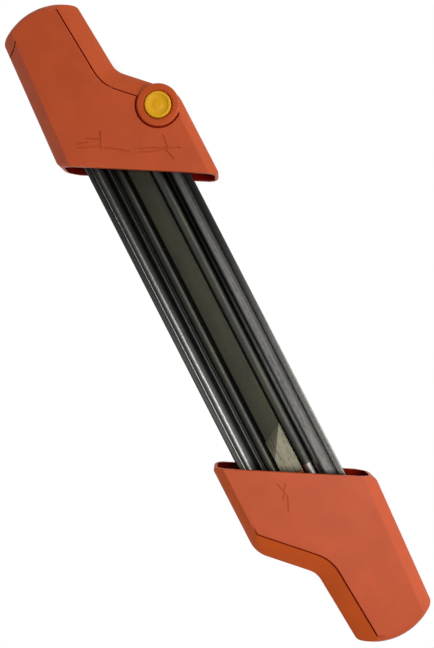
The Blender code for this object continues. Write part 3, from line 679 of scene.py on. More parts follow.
def back_casing(name, material, painted_shade_material, band_material, is_upper):
    """A handle's back half; the lower handle's is still to be turned about Z."""
    casing = new_object(name, mirrored_z(half_solid()), material)
    parting = MID_Z - GAP / 2
    if is_upper:
        column = cylinder_solid(RING_RADIUS, RING_FOOT_Z, parting)
        combine(casing, [at_place(column, BUTTON_X, BUTTON_Y)], "UNION")
    side_x, side_y = max(screw_places(), key=lambda place: place[1])
    pad = cylinder_solid(SCREW_HEAD_RADIUS + GAP + PAD_WALL, PAD_STEP, PAD_HEIGHT, BOSS_STEPS)
    combine(casing, [at_place(pad, side_x, side_y)], "UNION")
    # The hollow's faces take the darker orange painted as shade.
    combine(casing, [mirrored_z(cavity_solid())], "DIFFERENCE", painted_shade_material)
    bottom = WALL / 2
    solids = bosses(BOSS_RADIUS, WALL - GAP, parting)
    solids += rib_solids(-1 if is_upper else 1, bottom, CARRIER_BOTTOM - GAP)
    if is_upper:
        post = cylinder_solid(POST_RADIUS, bottom, POST_TOP, BOSS_STEPS)
        solids.append(at_place(post, BUTTON_X, BUTTON_Y))
    combine(casing, solids, "UNION")
    holes = [at_place(screw_recess(), x, y) for x, y in screw_places()]
    if is_upper:
        guide = cylinder_solid(GUIDE_RADIUS, GUIDE_FLOOR, POST_TOP + OVERRUN, BOSS_STEPS)
        holes.append(at_place(guide, BUTTON_X, BUTTON_Y))
    combine(casing, holes, "DIFFERENCE")
    paint_band_shading(casing, band_material, is_upper)
    return finish_mesh(casing)


# Rails
RAIL_WALL_OUTER = 3.1 * MM
RAIL_WALL_INNER = 1.7 * MM
RAIL_HEM_PLACE = 2.4 * MM
RAIL_INNER_HEM_PLACE = 0.7 * MM
RAIL_HEM_WIDTH = 0.5 * MM
RAIL_HEM_DEPTH = 0.35 * MM
RAIL_WEB = 1.3 * MM
RAIL_FOOT_WIDTH = 3.1 * MM
RAIL_FOOT_DEPTH = 0.7 * MM
RAIL_GROOVE_WIDTH = 0.7 * MM
RAIL_GROOVE_DEPTH = 0.6 * MM
RAIL_ARRIS = 0.3 * MM
RAIL_OUTER_ARRIS = 0.8 * MM
RAIL_TROUGH_RADIUS = 2.4 * MM
RAIL_INNER_FILLET = 1.1 * MM
RAIL_BACK_RADIUS = 3.2 * MM
RIVET_HOLE = 1.8 * MM
FRONT_LIMIT = 0.02
RAIL_ARC_STEPS = 7


def rounded_section(corners):
    """A closed section from (y, z, radius) corners, with arcs where a radius is given."""
    places = [Vector((y, z)) for y, z, _ in corners]
    section = []
    for i, (_, _, radius) in enumerate(corners):
        if radius == 0:
            section.append(tuple(places[i]))
            continue
        after = places[(i + 1) % len(places)]
        arc = rounded_corner(places[i - 1], places[i], after, radius, RAIL_ARC_STEPS)
        section += [tuple(point) for point in arc]
    return section


def rail_section():
    """Section of the left rail about the shaft's middle: a channel open to the front, with a foot behind."""
    outer = RAIL_HIGH.y - SHAFT_Y
    inner = RAIL_LOW.y - SHAFT_Y
    top = RAIL_HIGH.z - MID_Z
    back = RAIL_LOW.z - MID_Z + RAIL_FOOT_DEPTH
    floor = back + RAIL_WEB
    foot = outer - RAIL_FOOT_WIDTH
    groove = foot - RAIL_GROOVE_WIDTH

    def hem(place):
        """The shallow groove along the sheet's folded edge."""
        return [
            (place + RAIL_HEM_WIDTH / 2, top, 0),
            (place, top - RAIL_HEM_DEPTH, 0),
            (place - RAIL_HEM_WIDTH / 2, top, 0),
        ]

    return rounded_section([
        (outer, back - RAIL_FOOT_DEPTH, RAIL_ARRIS),
        (outer, top, RAIL_OUTER_ARRIS),
        *hem(outer - RAIL_HEM_PLACE),
        (outer - RAIL_WALL_OUTER, top, RAIL_ARRIS),
        (outer - RAIL_WALL_OUTER, floor, RAIL_TROUGH_RADIUS),
        (inner + RAIL_WALL_INNER, floor, RAIL_INNER_FILLET),
        (inner + RAIL_WALL_INNER, top, RAIL_ARRIS),
        *hem(inner + RAIL_INNER_HEM_PLACE),
        (inner, top, RAIL_ARRIS / 2),
        (inner, back, RAIL_BACK_RADIUS),
        (groove, back, RAIL_ARRIS / 3),
        (groove, back + RAIL_GROOVE_DEPTH, 0),
        (foot, back + RAIL_GROOVE_DEPTH, 0),
        (foot, back - RAIL_FOOT_DEPTH, RAIL_ARRIS),
    ])


def rail(side, section, material, front_material):
    """A rail with its rivets' holes; the faces that look forward have a material of their own, with painted
    highlights and shade.
    """
    low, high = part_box(f"guide_rail_{side}")
    rings = [[(x, SHAFT_Y + y, MID_Z + z) for y, z in section] for x in (low.x, high.x)]
    piece = new_object(f"{side}_rail_channel", rings_solid(rings), material)
    holes = []
    for end in ("upper", "lower"):
        hole = cylinder_solid(RIVET_HOLE, -OVERRUN, THICKNESS + OVERRUN, BOSS_STEPS)
        holes.append(at_place(hole, *centre_of(f"rail_rivet_{end}_{side}")))
    combine(piece, holes, "DIFFERENCE")
    finish_mesh(piece)
    piece.data.materials.append(front_material)
    for face in piece.data.polygons:
        face.material_index = 1 if face.normal.z > FRONT_LIMIT else 0
    return piece


# Flat file. Each tooth has its crest and its root at shares of the pitch. The bare heel is ground down on
# both sides of a ridge, which ends at RIDGE_END_X on the left edge.
FLAT_LOW, FLAT_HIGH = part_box("flat_file")
FLAT_HALF = (FLAT_HIGH.y - FLAT_LOW.y) / 2
FLAT_SURFACE = (FLAT_HIGH.z - FLAT_LOW.z) / 2
FLAT_HEEL_X = -95 * MM
FLAT_TANG_TIP = 2 * MM
TOOTH_PITCH = 0.7 * MM
TOOTH_DEPTH = 0.05 * MM
TOOTH_SLOPE = -0.546
TEETH_LOW_X = -62 * MM
HEEL_SINK = 0.08 * MM
FLAT_SQUARE_EDGE = 0.07 * MM
FLAT_SAFE_EDGE = 0.4 * MM
FLAT_EDGE_FADE = 1.2 * MM
TOOTH_CREST_SHARE = 0.25
TOOTH_ROOT_SHARE = 0.9
TEETH_EDGE = 0.01 * MM
RIDGE_END_X = -75.5 * MM
HEEL_FALL = 0.45 * MM
HEEL_SLOPE = 0.05
LEAST_LEAN = 0.01
FLAT_SHARP_DEGREES = 10

# Round files. The teeth are rings along the axis, which fade in from the bare heel.
ROUND_RADIUS = (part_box("round_file_left")[1].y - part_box("round_file_left")[0].y) / 2
ROUND_TOOTH_PITCH = 0.62 * MM
ROUND_TOOTH_DEPTH = 0.06 * MM
ROUND_STARTS = 14
ROUND_SIDES = 3 * ROUND_STARTS
ROUND_TOOTH_RINGS = 4
ROUND_FADE_RINGS = 8
ROUND_TANG_LENGTH = 16 * MM
ROUND_TANG_SHARE = 0.46
ROUND_HEEL_GAP = 0.6 * MM
ROUND_SHARP_DEGREES = 40
LEFT_TEETH_X = -88 * MM
RIGHT_TEETH_X = -83 * MM
RIGHT_STUB_SHARE = 0.88


def flat_ring(x, slope, half, surface):
    """Section of the flat file at x, slanted across it: one safe edge, bevelled, and one square."""
    safe = min(FLAT_SAFE_EDGE, half / 4)
    edge = min(FLAT_SQUARE_EDGE, half / 4)
    fade = min(FLAT_EDGE_FADE, half / 4)
    land = FLAT_SURFACE - TOOTH_DEPTH
    section = [
        (half, land - safe),
        (half - safe, land),
        (half - safe - fade, surface),
        (edge + fade - half, surface),
        (edge - half, land),
        (-half, land - edge),
        (-half, edge - land),
        (edge - half, -land),
        (edge + fade - half, -surface),
        (half - safe - fade, -surface),
        (half - safe, -land),
        (half, safe - land),
    ]
    return [(x + slope * y, SHAFT_Y + y, MID_Z + z) for y, z in section]


def flat_file_rings(heel):
    """The flat file from its tang to its tip: the bare heel, then a crest and a root for each tooth."""
    root = FLAT_SURFACE - TOOTH_DEPTH
    rings = [
        flat_ring(FLAT_LOW.x, 0, FLAT_TANG_TIP, heel),
        flat_ring(FLAT_HEEL_X - FLAT_HALF + FLAT_TANG_TIP, 0, FLAT_TANG_TIP, heel),
        flat_ring(FLAT_HEEL_X, 0, FLAT_HALF, heel),
        flat_ring(TEETH_LOW_X, TOOTH_SLOPE, FLAT_HALF, heel),
    ]
    teeth = int((FLAT_HIGH.x - TEETH_LOW_X - abs(TOOTH_SLOPE) * FLAT_HALF) / TOOTH_PITCH) - 1
    for i in range(teeth):
        x = TEETH_LOW_X + i * TOOTH_PITCH
        rings.append(flat_ring(x + TOOTH_PITCH * TOOTH_CREST_SHARE, TOOTH_SLOPE, FLAT_HALF, FLAT_SURFACE))
        rings.append(flat_ring(x + TOOTH_PITCH * TOOTH_ROOT_SHARE, TOOTH_SLOPE, FLAT_HALF, root))
    rings.append(flat_ring(FLAT_HIGH.x, 0, FLAT_HALF, root))
    return rings


def ground_cut(places, heights):
    """A cutter over the places, about the shaft's middle, whose bottom lies at the heights."""
    bottom = [(p.x, SHAFT_Y + p.y, MID_Z + z) for p, z in zip(places, heights)]
    top = [(x, y, MID_Z + FLAT_SURFACE + OVERRUN) for x, y, _ in bottom]
    return rings_solid([bottom, top])


def flat_file(material, bare_material, shaded_facet_material):
    """Flat file: slanted single-cut teeth, then a bare heel ground to a ridge, and a tang."""
    heel = FLAT_SURFACE - HEEL_SINK
    piece = new_object("flat_file_cut", rings_solid(flat_file_rings(heel)), material, FLAT_SHARP_DEGREES)
    ridge_start = Vector((TEETH_LOW_X - TOOTH_SLOPE * FLAT_HALF, -FLAT_HALF))
    ridge_end = Vector((RIDGE_END_X, FLAT_HALF))
    left_top = Vector((TEETH_LOW_X + TOOTH_SLOPE * FLAT_HALF, FLAT_HALF))
    low_left = Vector((FLAT_HEEL_X, FLAT_HALF + HEEL_SINK))
    low_right = Vector((FLAT_HEEL_X, -FLAT_HALF - HEEL_SINK))
    left_cut = ground_cut([ridge_start, left_top, ridge_end], [heel, heel - HEEL_FALL, heel])
    combine(piece, [left_cut], "DIFFERENCE")
    across = ridge_end - ridge_start
    downhill = Vector((across.y, -across.x)).normalized()
    if downhill.dot(low_right - ridge_start) < 0:
        downhill = -downhill
    places = [ridge_start, ridge_end, low_left, low_right]
    heights = [heel - HEEL_SLOPE * max(0.0, downhill.dot(place - ridge_start)) for place in places]
    combine(piece, [ground_cut(places, heights)], "DIFFERENCE")
    piece.data.materials.append(bare_material)
    piece.data.materials.append(shaded_facet_material)
    # Bare faces that lean left take the darker steel: painted shade on that facet of the ground heel.
    for face in piece.data.polygons:
        x, y, _ = face.center
        is_bare = x < TEETH_LOW_X + TOOTH_SLOPE * (y - SHAFT_Y) + TEETH_EDGE
        leans_left = face.normal.xy.dot(downhill) < -LEAST_LEAN
        if is_bare:
            face.material_index = 2 if leans_left else 1
        else:
            face.material_index = 0
    return finish_mesh(piece, FLAT_SHARP_DEGREES)


def round_ring(x, y, z, radii):
    """Section of a round file at a place on its axis, with a radius for each of its points."""
    return [(x, y + radius * a, z + radius * b) for radius, (a, b) in zip(radii, circle(ROUND_SIDES))]


def tooth_radii(i):
    """The radii round ring i of the teeth, which fall from each tooth's crest to the next one."""
    fade = min(1.0, i / ROUND_FADE_RINGS)
    radii = []
    for j in range(ROUND_SIDES):
        phase = (i / ROUND_TOOTH_RINGS + ROUND_STARTS * j / ROUND_SIDES) % 1.0
        radii.append(ROUND_RADIUS - ROUND_TOOTH_DEPTH * (1 - (1 - phase) * fade))
    return radii


def round_file(name, node, material, bare_material, teeth_x, bare_radius):
    """Round file with spiral teeth, from its tang to its tip."""
    low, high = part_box(node)
    y = (low.y + high.y) / 2
    z = (low.z + high.z) / 2
    bare_places = (
        (low.x, ROUND_RADIUS * ROUND_TANG_SHARE),
        (low.x + ROUND_TANG_LENGTH, bare_radius),
        (teeth_x - ROUND_HEEL_GAP, bare_radius),
    )
    rings = [round_ring(x, y, z, [radius] * ROUND_SIDES) for x, radius in bare_places]
    step = ROUND_TOOTH_PITCH / ROUND_TOOTH_RINGS
    for i in range(int((high.x - teeth_x) / step)):
        rings.append(round_ring(teeth_x + i * step, y, z, tooth_radii(i)))
    rings.append(round_ring(high.x, y, z, [ROUND_RADIUS - ROUND_TOOTH_DEPTH] * ROUND_SIDES))
    piece = new_object(name, rings_solid(rings), material, ROUND_SHARP_DEGREES)
    piece.data.materials.append(bare_material)
    for face in piece.data.polygons:
        face.material_index = 1 if face.center.x < teeth_x else 0
    return piece


# Button: its stem, the lock part on it, the flange, and the dish with its low pad
STEM_RADIUS = 1.6 * MM
STEM_NECK_RADIUS = 1.8 * MM
LOCK_RADIUS = 3 * MM
LOCK_LOW = SPRING_LOW + 5.2 * MM + GAP
LOCK_HIGH = LOCK_LOW + 3 * MM
FLANGE_TOP = THICKNESS - WALL - GAP
FLANGE_BOTTOM = FLANGE_TOP - 1.9 * MM
RIM = 0.45 * MM
DISH_RADIUS = BUTTON_RADIUS - 1.55 * MM
DISH_DEPTH = 0.85 * MM
PAD_RADIUS = 2.6 * MM
PAD_RISE = 0.3 * MM
PAD_STEEPNESS = 2.2
RIM_STEPS = 6
RIM_INNER_STEPS = 4
DISH_STEPS = 8
PAD_STEPS = 6


def button_piece(material):
    """The button: a rounded rim round a dish with a low pad, on its flange and stem."""
    top = BUTTON_HIGH.z
    profile = [
        (STEM_RADIUS, BUTTON_LOW.z),
        (STEM_RADIUS, LOCK_LOW),
        (LOCK_RADIUS, LOCK_LOW),
        (LOCK_RADIUS, LOCK_HIGH),
        (STEM_NECK_RADIUS, LOCK_HIGH),
        (STEM_NECK_RADIUS, FLANGE_BOTTOM),
        (FLANGE_RADIUS, FLANGE_BOTTOM),
        (FLANGE_RADIUS, FLANGE_TOP),
        (BUTTON_RADIUS, FLANGE_TOP),
    ]
    for angle in quarter_turn(RIM_STEPS):
        profile.append((BUTTON_RADIUS - RIM * (1 - math.cos(angle)), top - RIM * (1 - math.sin(angle))))
    for angle in quarter_turn(RIM_INNER_STEPS):
        profile.append((DISH_RADIUS + RIM * (1 - math.sin(angle)), top - RIM * (1 - math.cos(angle))))
    for i in range(1, DISH_STEPS + 1):
        share = i / DISH_STEPS
        radius = DISH_RADIUS + (PAD_RADIUS - DISH_RADIUS) * share
        profile.append((radius, top - RIM - (DISH_DEPTH - RIM) * math.sin(math.pi / 2 * share)))
    for i in range(1, PAD_STEPS + 1):
        share = i / PAD_STEPS
        rise = PAD_RISE * math.sin(math.pi / 2 * min(1.0, share * PAD_STEEPNESS))
        profile.append((PAD_RADIUS * (1 - share), top - DISH_DEPTH + rise))
    solid = at_place(turned_solid(profile), BUTTON_X, BUTTON_Y)
    return new_object("lock_button_moulded", solid, material)


# Spring: its wire, and how much of a turn is closed up at each end
WIRE_RADIUS = 0.3 * MM
WIRE_SIDES = 10
WIRE_SHARP_DEGREES = 60
SPRING_TURNS = 5
SPRING_STEPS = 24
CLOSED_TURN = 0.8


def spring_height(turn):
    """How high the wire's middle has climbed after so many turns: slowly at the closed ends."""
    closed = min(turn, CLOSED_TURN) + max(0.0, turn - SPRING_TURNS + CLOSED_TURN)
    open_share = max(0.0, min(1.0, (turn - CLOSED_TURN) / (SPRING_TURNS - 2 * CLOSED_TURN)))
    open_rise = SPRING_HIGH - SPRING_LOW - 2 * WIRE_RADIUS - 4 * WIRE_RADIUS * CLOSED_TURN
    return 2 * WIRE_RADIUS * closed + open_rise * open_share


def spring_piece(material):
    """The return spring: round wire wound round the lower stem, with its ends closed up."""
    rings = []
    for i in range(SPRING_TURNS * SPRING_STEPS + 1):
        turn = i / SPRING_STEPS
        angle = math.tau * turn
        z = SPRING_LOW + WIRE_RADIUS + spring_height(turn)
        outward = Vector((math.cos(angle), math.sin(angle), 0))
        centre = Vector((BUTTON_X, BUTTON_Y, z)) + outward * (SPRING_RADIUS - WIRE_RADIUS)
        ring = []
        for out, up in circle(WIRE_SIDES):
            point = centre + outward * WIRE_RADIUS * out
            point.z += WIRE_RADIUS * up
            ring.append(point)
        rings.append(ring)
    return new_object("lock_button_spring_wire", rings_solid(rings), material, WIRE_SHARP_DEGREES)


def node_tree(name):
    """A new material, its tree and shader, and the place on the object."""
    material = bpy.data.materials.new(name)
    material.use_nodes = True
    tree = material.node_tree
    shader = tree.nodes["Principled BSDF"]
    place = tree.nodes.new("ShaderNodeTexCoord").outputs["Object"]
    return material, tree, shader, place


def stretched(tree, place, scale):
    mapping = tree.nodes.new("ShaderNodeMapping")
    mapping.inputs["Scale"].default_value = scale
    tree.links.new(place, mapping.inputs["Vector"])
    return mapping.outputs["Vector"]


def noise(tree, place, scale, detail, roughness=0.5):
    node = tree.nodes.new("ShaderNodeTexNoise")
    node.inputs["Scale"].default_value = scale
    node.inputs["Detail"].default_value = detail
    node.inputs["Roughness"].default_value = roughness
    tree.links.new(place, node.inputs["Vector"])
    return node.outputs["Fac"]


def ramp(tree, value, stops):
    """Colours or greys between the stops, each a position with a colour or a number."""
    node = tree.nodes.new("ShaderNodeValToRGB")
    elements = node.color_ramp.elements
    while len(elements) < len(stops):
        elements.new(0.5)
    for element, (position, colour) in zip(elements, stops):
        element.position = position
        element.color = (*colour, 1) if isinstance(colour, tuple) else (colour, colour, colour, 1)
    tree.links.new(value, node.inputs["Fac"])
    return node.outputs["Color"]


def maths(tree, operation, first, second):
    node = tree.nodes.new("ShaderNodeMath")
    node.operation = operation
    for socket, value in zip(node.inputs, (first, second)):
        if isinstance(value, (int, float)):
            socket.default_value = value
        else:
            tree.links.new(value, socket)
    return node.outputs["Value"]


def share_along(tree, place, axis, low, high):
    """How far a point lies between two places along an axis, from 0 to 1."""
    split = tree.nodes.new("ShaderNodeSeparateXYZ")
    tree.links.new(place, split.inputs["Vector"])
    span = tree.nodes.new("ShaderNodeMapRange")
    span.inputs["From Min"].default_value = low
    span.inputs["From Max"].default_value = high
    tree.links.new(split.outputs[axis], span.inputs["Value"])
    return span.outputs["Result"]


def multiplied(tree, first, second):
    node = tree.nodes.new("ShaderNodeMix")
    node.data_type = "RGBA"
    node.blend_type = "MULTIPLY"
    node.inputs["Factor"].default_value = 1.0
    tree.links.new(first, node.inputs[6])
    tree.links.new(second, node.inputs[7])
    return node.outputs[2]


def between(tree, texture, low, high):
    """A texture spread out between the value where it is low and the one where it is high."""
    return ramp(tree, texture, ((0.3, low), (0.7, high)))


def surface(tree, shader, tint, rough, height, strength, depth):
    """Give a shader its colour, its roughness and a grain."""
    grain = tree.nodes.new("ShaderNodeBump")
    grain.inputs["Strength"].default_value = strength
    grain.inputs["Distance"].default_value = depth
    tree.links.new(height, grain.inputs["Height"])
    tree.links.new(grain.outputs["Normal"], shader.inputs["Normal"])
    tree.links.new(tint, shader.inputs["Base Color"])
    tree.links.new(rough, shader.inputs["Roughness"])


# Textures, in waves a metre
MOTTLE = 70
GRAIN = 1500
GLOSS_PATCHES = 220
DRAWN_LINES = (9, 1500, 1500)
DRAWN_STAINS = (420, 1500, 1500)
WEAR_SPECKS = 1900
FILE_PATCHES = (40, 160, 160)
FILE_GLOSS_PATCHES = 900
FILE_GRAIN = 3000

# Grain depths, and the X range that a steel's painted highlight and shade bands run along
PLASTIC_DEPTH = 0.05 * MM
DRAWN_DEPTH = 0.03 * MM
FILE_DEPTH = 0.02 * MM
FILE_GRAIN_STRENGTH = 0.25
PAINTED_BAND_X = (-80 * MM, 90 * MM)

# Shares of a material's colour in its dark and its light patches
PLASTIC_DARK = (0.93, 0.93, 0.93)
PLASTIC_LIGHT = (1.05, 1.05, 1.05)
STEEL_DARK = (0.4, 0.4, 0.4)
STEEL_WARM = (1.12, 1.04, 0.92)
FILE_DARK = (0.8, 0.8, 0.8)
FILE_OLIVE = (1.05, 1.02, 0.8)


def scaled(colour, shares):
    """The colour with each of its parts times a share."""
    return tuple(min(1, part * share) for part, share in zip(colour, shares))


def moulded_plastic(name, colour, roughness, grain, gloss=0.35):
    """Moulded plastic with a fine spark-eroded grain and faint flow marks."""
    material, tree, shader, place = node_tree(name)
    mottle = noise(tree, place, MOTTLE, 4)
    patches = noise(tree, place, GLOSS_PATCHES, 3)
    tint = between(tree, mottle, scaled(colour, PLASTIC_DARK), scaled(colour, PLASTIC_LIGHT))
    rough = between(tree, patches, roughness - 0.05, roughness + 0.06)
    surface(tree, shader, tint, rough, noise(tree, place, GRAIN, 2), grain, PLASTIC_DEPTH)
    shader.inputs["Specular IOR Level"].default_value = gloss
    return material


def painted_band_shade(tree, place, y_range, across, along):
    """A band of painted highlight and shade: its greys across the Y range times those along the shaft."""
    across_it = ramp(tree, share_along(tree, place, "Y", *y_range), across)
    along_it = ramp(tree, share_along(tree, place, "X", *PAINTED_BAND_X), along)
    return maths(tree, "MULTIPLY", across_it, along_it)


def drawn_steel(name, colour, roughness, line_strength, worn=0.0, painted_bands=()):
    """Drawn or ground steel: fine lines along X, stains, specks of wear, and bands of painted highlight and
    shade whose greys add up.
    """
    material, tree, shader, place = node_tree(name)
    shader.inputs["Metallic"].default_value = 1.0
    lines = noise(tree, stretched(tree, place, DRAWN_LINES), 1, 4, 0.65)
    stain = noise(tree, stretched(tree, place, DRAWN_STAINS), 1, 5, 0.7)
    mixed = maths(tree, "ADD", maths(tree, "MULTIPLY", lines, 0.6), maths(tree, "MULTIPLY", stain, 0.4))
    tints = ((0.38, scaled(colour, STEEL_DARK)), (0.5, colour), (0.62, scaled(colour, STEEL_WARM)))
    tint = ramp(tree, mixed, tints)
    shades = [painted_band_shade(tree, place, *track) for track in painted_bands]
    if shades:
        total = shades[0]
        for shade in shades[1:]:
            total = maths(tree, "ADD", total, shade)
        tint = multiplied(tree, tint, total)
    rough = between(tree, mixed, roughness + 0.14, roughness)
    height = lines
    if worn:
        specks = noise(tree, place, WEAR_SPECKS, 2, 0.7)
        height = maths(tree, "ADD", lines, maths(tree, "MULTIPLY", specks, worn))
    surface(tree, shader, tint, rough, height, line_strength, DRAWN_DEPTH)
    return material


def cut_steel(name, colour, roughness, y_range=None, across=()):
    """Hardened file steel: dark and a little olive, with painted shade from grey stops across a Y range where
    one is given.
    """
    material, tree, shader, place = node_tree(name)
    shader.inputs["Metallic"].default_value = 1.0
    patches = noise(tree, stretched(tree, place, FILE_PATCHES), 1, 4)
    gloss = noise(tree, place, FILE_GLOSS_PATCHES, 2)
    tint = ramp(tree, patches, ((0.32, scaled(colour, FILE_DARK)), (0.68, scaled(colour, FILE_OLIVE))))
    if y_range:
        tint = multiplied(tree, tint, ramp(tree, share_along(tree, place, "Y", *y_range), across))
    rough = between(tree, gloss, roughness - 0.06, roughness + 0.08)
    surface(tree, shader, tint, rough, noise(tree, place, FILE_GRAIN, 2), FILE_GRAIN_STRENGTH, FILE_DEPTH)
    return material


# Painted highlights and shade on the rails' fronts: greys across them from left to right, then along them
# from low to high X
LEFT_RAIL_Y = (RAIL_HIGH.y, RAIL_LOW.y)
RIGHT_RAIL_Y = (RIGHT_RAIL_HIGH.y, RIGHT_RAIL_LOW.y)
FLAT_FILE_Y = (FLAT_HIGH.y, FLAT_LOW.y)
LEFT_RAIL_PAINTED_BANDS = [
    (LEFT_RAIL_Y,
     ((0.0, 0.08), (0.09, 0.2), (0.18, 0.16), (0.26, 0.64), (0.36, 1.0), (0.42, 1.0), (0.47, 0.35),
      (0.58, 0.2), (0.66, 0.04), (0.82, 0.04), (0.87, 0.22), (0.94, 0.18), (0.96, 0.05), (1.0, 0.06)),
     ((0.0, 1.0), (0.5, 0.9), (1.0, 0.7))),
]
# On the right rail: its inner edge, its middle and its outer edge
RIGHT_RAIL_PAINTED_BANDS = [
    (RIGHT_RAIL_Y,
     ((0.0, 0.1), (0.07, 0.38), (0.115, 0.64), (0.16, 0.41), (0.2, 0.13), (0.25, 0.07), (0.336, 0.09),
      (0.37, 0.0)),
     ((0.22, 1.0), (0.38, 0.4), (0.56, 0.12), (0.735, 0.05))),
    (RIGHT_RAIL_Y,
     ((0.25, 0.0), (0.29, 0.2), (0.34, 0.55), (0.39, 1.0), (0.47, 1.0), (0.58, 0.6), (0.64, 0.48),
      (0.69, 0.15), (0.72, 0.0)),
     ((0.22, 0.31), (0.38, 0.4), (0.56, 0.59), (0.735, 0.7))),
    (RIGHT_RAIL_Y,
     ((0.66, 0.0), (0.72, 0.2), (0.77, 0.3), (0.9, 0.5), (1.0, 1.0)),
     ((0.22, 0.46), (0.38, 0.45), (0.56, 0.35), (0.735, 0.26))),
]
# Painted shade along the flat file's edges, darkest along its +Y edge.
FLAT_FILE_PAINTED_SHADE = ((0.0, 0.1), (0.06, 0.25), (0.1, 0.75), (0.5, 0.9), (0.97, 1.0), (1.0, 0.6))

# Each plastic: colour, roughness, grain and gloss
orange = moulded_plastic("handle_orange", (0.5, 0.075, 0.018), 0.5, 0.2)
# A darker copy of the handle orange: painted shade for the hollows, the mouths, the seam's bottom, the crease
# and the ring groove.
inside_shade_orange = moulded_plastic("handle_inside_painted_shade", (0.22, 0.008, 0.003), 0.6, 0.2, 0.0)
# The band colours are copies of the handle orange, more saturated and less glossy: painted light, standing
# for the lesser sheen on the narrow side, the band and the ring.
upper_band_painted_shading = moulded_plastic("upper_handle_band_painted_shading", (0.5, 0.073, 0.012), 0.5, 0.2, 0.27)
lower_band_painted_shading = moulded_plastic("lower_handle_band_painted_shading", (0.54, 0.078, 0.006), 0.5, 0.2, 0.2)
yellow = moulded_plastic("button_yellow", (0.74, 0.37, 0.012), 0.34, 0.12, 0.2)
black = moulded_plastic("carrier_black", (0.022, 0.022, 0.022), 0.5, 0.3)

# Each drawn steel: colour, roughness, strength of its lines, wear and bands of painted highlight and shade.
# Each cut steel:
# colour, roughness, and where it has painted shade, its Y range and greys.
rail_steel = drawn_steel("rail_steel", (0.3, 0.3, 0.29), 0.3, 0.4, 0.1)
# The channel and worn steels carry the rails' painted highlights and shade, besides their real lines, stains
# and specks of wear.
channel_steel = drawn_steel("channel_steel", (0.62, 0.62, 0.6), 0.36, 0.6, 0.4, LEFT_RAIL_PAINTED_BANDS)
worn_steel_painted_light = drawn_steel("worn_steel_painted_light", (0.45, 0.442, 0.42), 0.3, 0.8, 0.9, RIGHT_RAIL_PAINTED_BANDS)
# A darker copy of the heel steel, painted shade: on the ground heel's left-leaning facet, and on the left
# round file's heel.
shaded_heel_steel = drawn_steel("shaded_heel_steel", (0.09, 0.085, 0.06), 0.36, 0.6, 0.6)
ground_steel = drawn_steel("ground_steel", (0.18, 0.171, 0.124), 0.36, 0.6, 0.9)
stub_steel = drawn_steel("stub_steel", (0.5, 0.5, 0.48), 0.4, 0.3)
file_steel = cut_steel("file_steel", (0.065, 0.063, 0.052), 0.5, FLAT_FILE_Y, FLAT_FILE_PAINTED_SHADE)
round_steel = cut_steel("round_file_steel", (0.085, 0.085, 0.082), 0.52)
zinc = drawn_steel("bright_steel", (0.6, 0.6, 0.6), 0.3, 0.2)


def place_piece(piece, body, slot, *replaced):
    """Hand a piece to the body that it moves with, in place of CAD solids. The slot is not used."""
    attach(piece, body)
    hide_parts(*replaced)
    return piece


handles = (("upper", "upper_handle", upper_band_painted_shading), ("lower", "frame", lower_band_painted_shading))
for handle, body, band_orange in handles:
    is_upper = handle == "upper"
    for half, make_casing in (("front", front_casing), ("back", back_casing)):
        casing = make_casing(f"{handle}_{half}_casing", orange, inside_shade_orange, band_orange, is_upper)
        if not is_upper:
            casing.data.transform(Matrix.Rotation(math.pi, 4, "Z"))
        place_piece(casing, body, "handle_orange", f"{handle}_handle_{half}_shell")

place_piece(button_piece(yellow), "lock_button", "button_yellow", "lock_button")

spring = place_piece(spring_piece(zinc), "upper_handle", "bright_steel", "lock_button_spring")
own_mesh(spring)

left_section = rail_section()
right_section = [(-y, -z) for y, z in left_section]
rail_sides = (("left", left_section, channel_steel), ("right", right_section, worn_steel_painted_light))
for side, section, front_steel in rail_sides:
    channel = rail(side, section, rail_steel, front_steel)
    place_piece(channel, "frame", "rail_steel", f"guide_rail_{side}")

place_piece(flat_file(file_steel, ground_steel, shaded_heel_steel), "frame", "file_steel", "flat_file")

round_files = (
    ("left", shaded_heel_steel, LEFT_TEETH_X, ROUND_RADIUS),
    ("right", stub_steel, RIGHT_TEETH_X, ROUND_RADIUS * RIGHT_STUB_SHARE),
)
for side, heel_steel, teeth_x, bare_radius in round_files:
    node = f"round_file_{side}"
    cut = round_file(f"{side}_round_file_cut", node, round_steel, heel_steel, teeth_x, bare_radius)
    place_piece(cut, node, "file_steel", node)

# The carriers, screws and rivets show as the CAD has them
for name, node in nodes.items():
    if node.hide_render:
        continue
    finish = black if "carrier" in name else zinc
    node.data.materials.clear()
    node.data.materials.append(finish)


# Floor: its size and colour, how far it looks for cover, the shaft's half width as a share of that distance,
# how much lighter it is beside the shaft, and its greys from covered to open
FLOOR_SIZE = 3
FLOOR_COLOUR = (0.85, 0.85, 0.85, 1)
FLOOR_COVER = 80 * MM
COVER_SAMPLES = 16
SHAFT_SHARE = 0.265
SHAFT_FADE = 0.02
FLOOR_LIFT = 0.45
FLOOR_GREYS = ((0.0, 0.0), (0.34, 0.01), (0.46, 1.0))
LEAST_SHADE = 0.4

# Dome: greys from the horizon up, greys from the shaft's right to its left, and how high its foot reaches
DOME_GREYS = ((0.0, 0.75), (0.3, 0.65), (0.7, 0.3), (0.93, 0.08), (1.0, 0.02))
DOME_SIDE_GREYS = ((0.0, 1.0), (0.5, 0.7), (1.0, 0.35))
DOME_FOOT = 0.36
DOME_FOOT_FADE = 0.1

# Lights: name, place, what it faces, its two sides in metres, and its power in watts
LIGHTS = (
    ("key", (-0.15, -0.16, 0.5), (-0.075, 0, 0), 0.25, 0.25, 1.24),
    ("right_strip", (-0.06, -0.46, 0.42), (-0.03, 0, 0), 0.7, 0.2, 1.9),
    ("left_strip", (-0.05, 0.36, 0.46), (-0.03, 0, 0), 0.7, 0.14, 0.6),
)

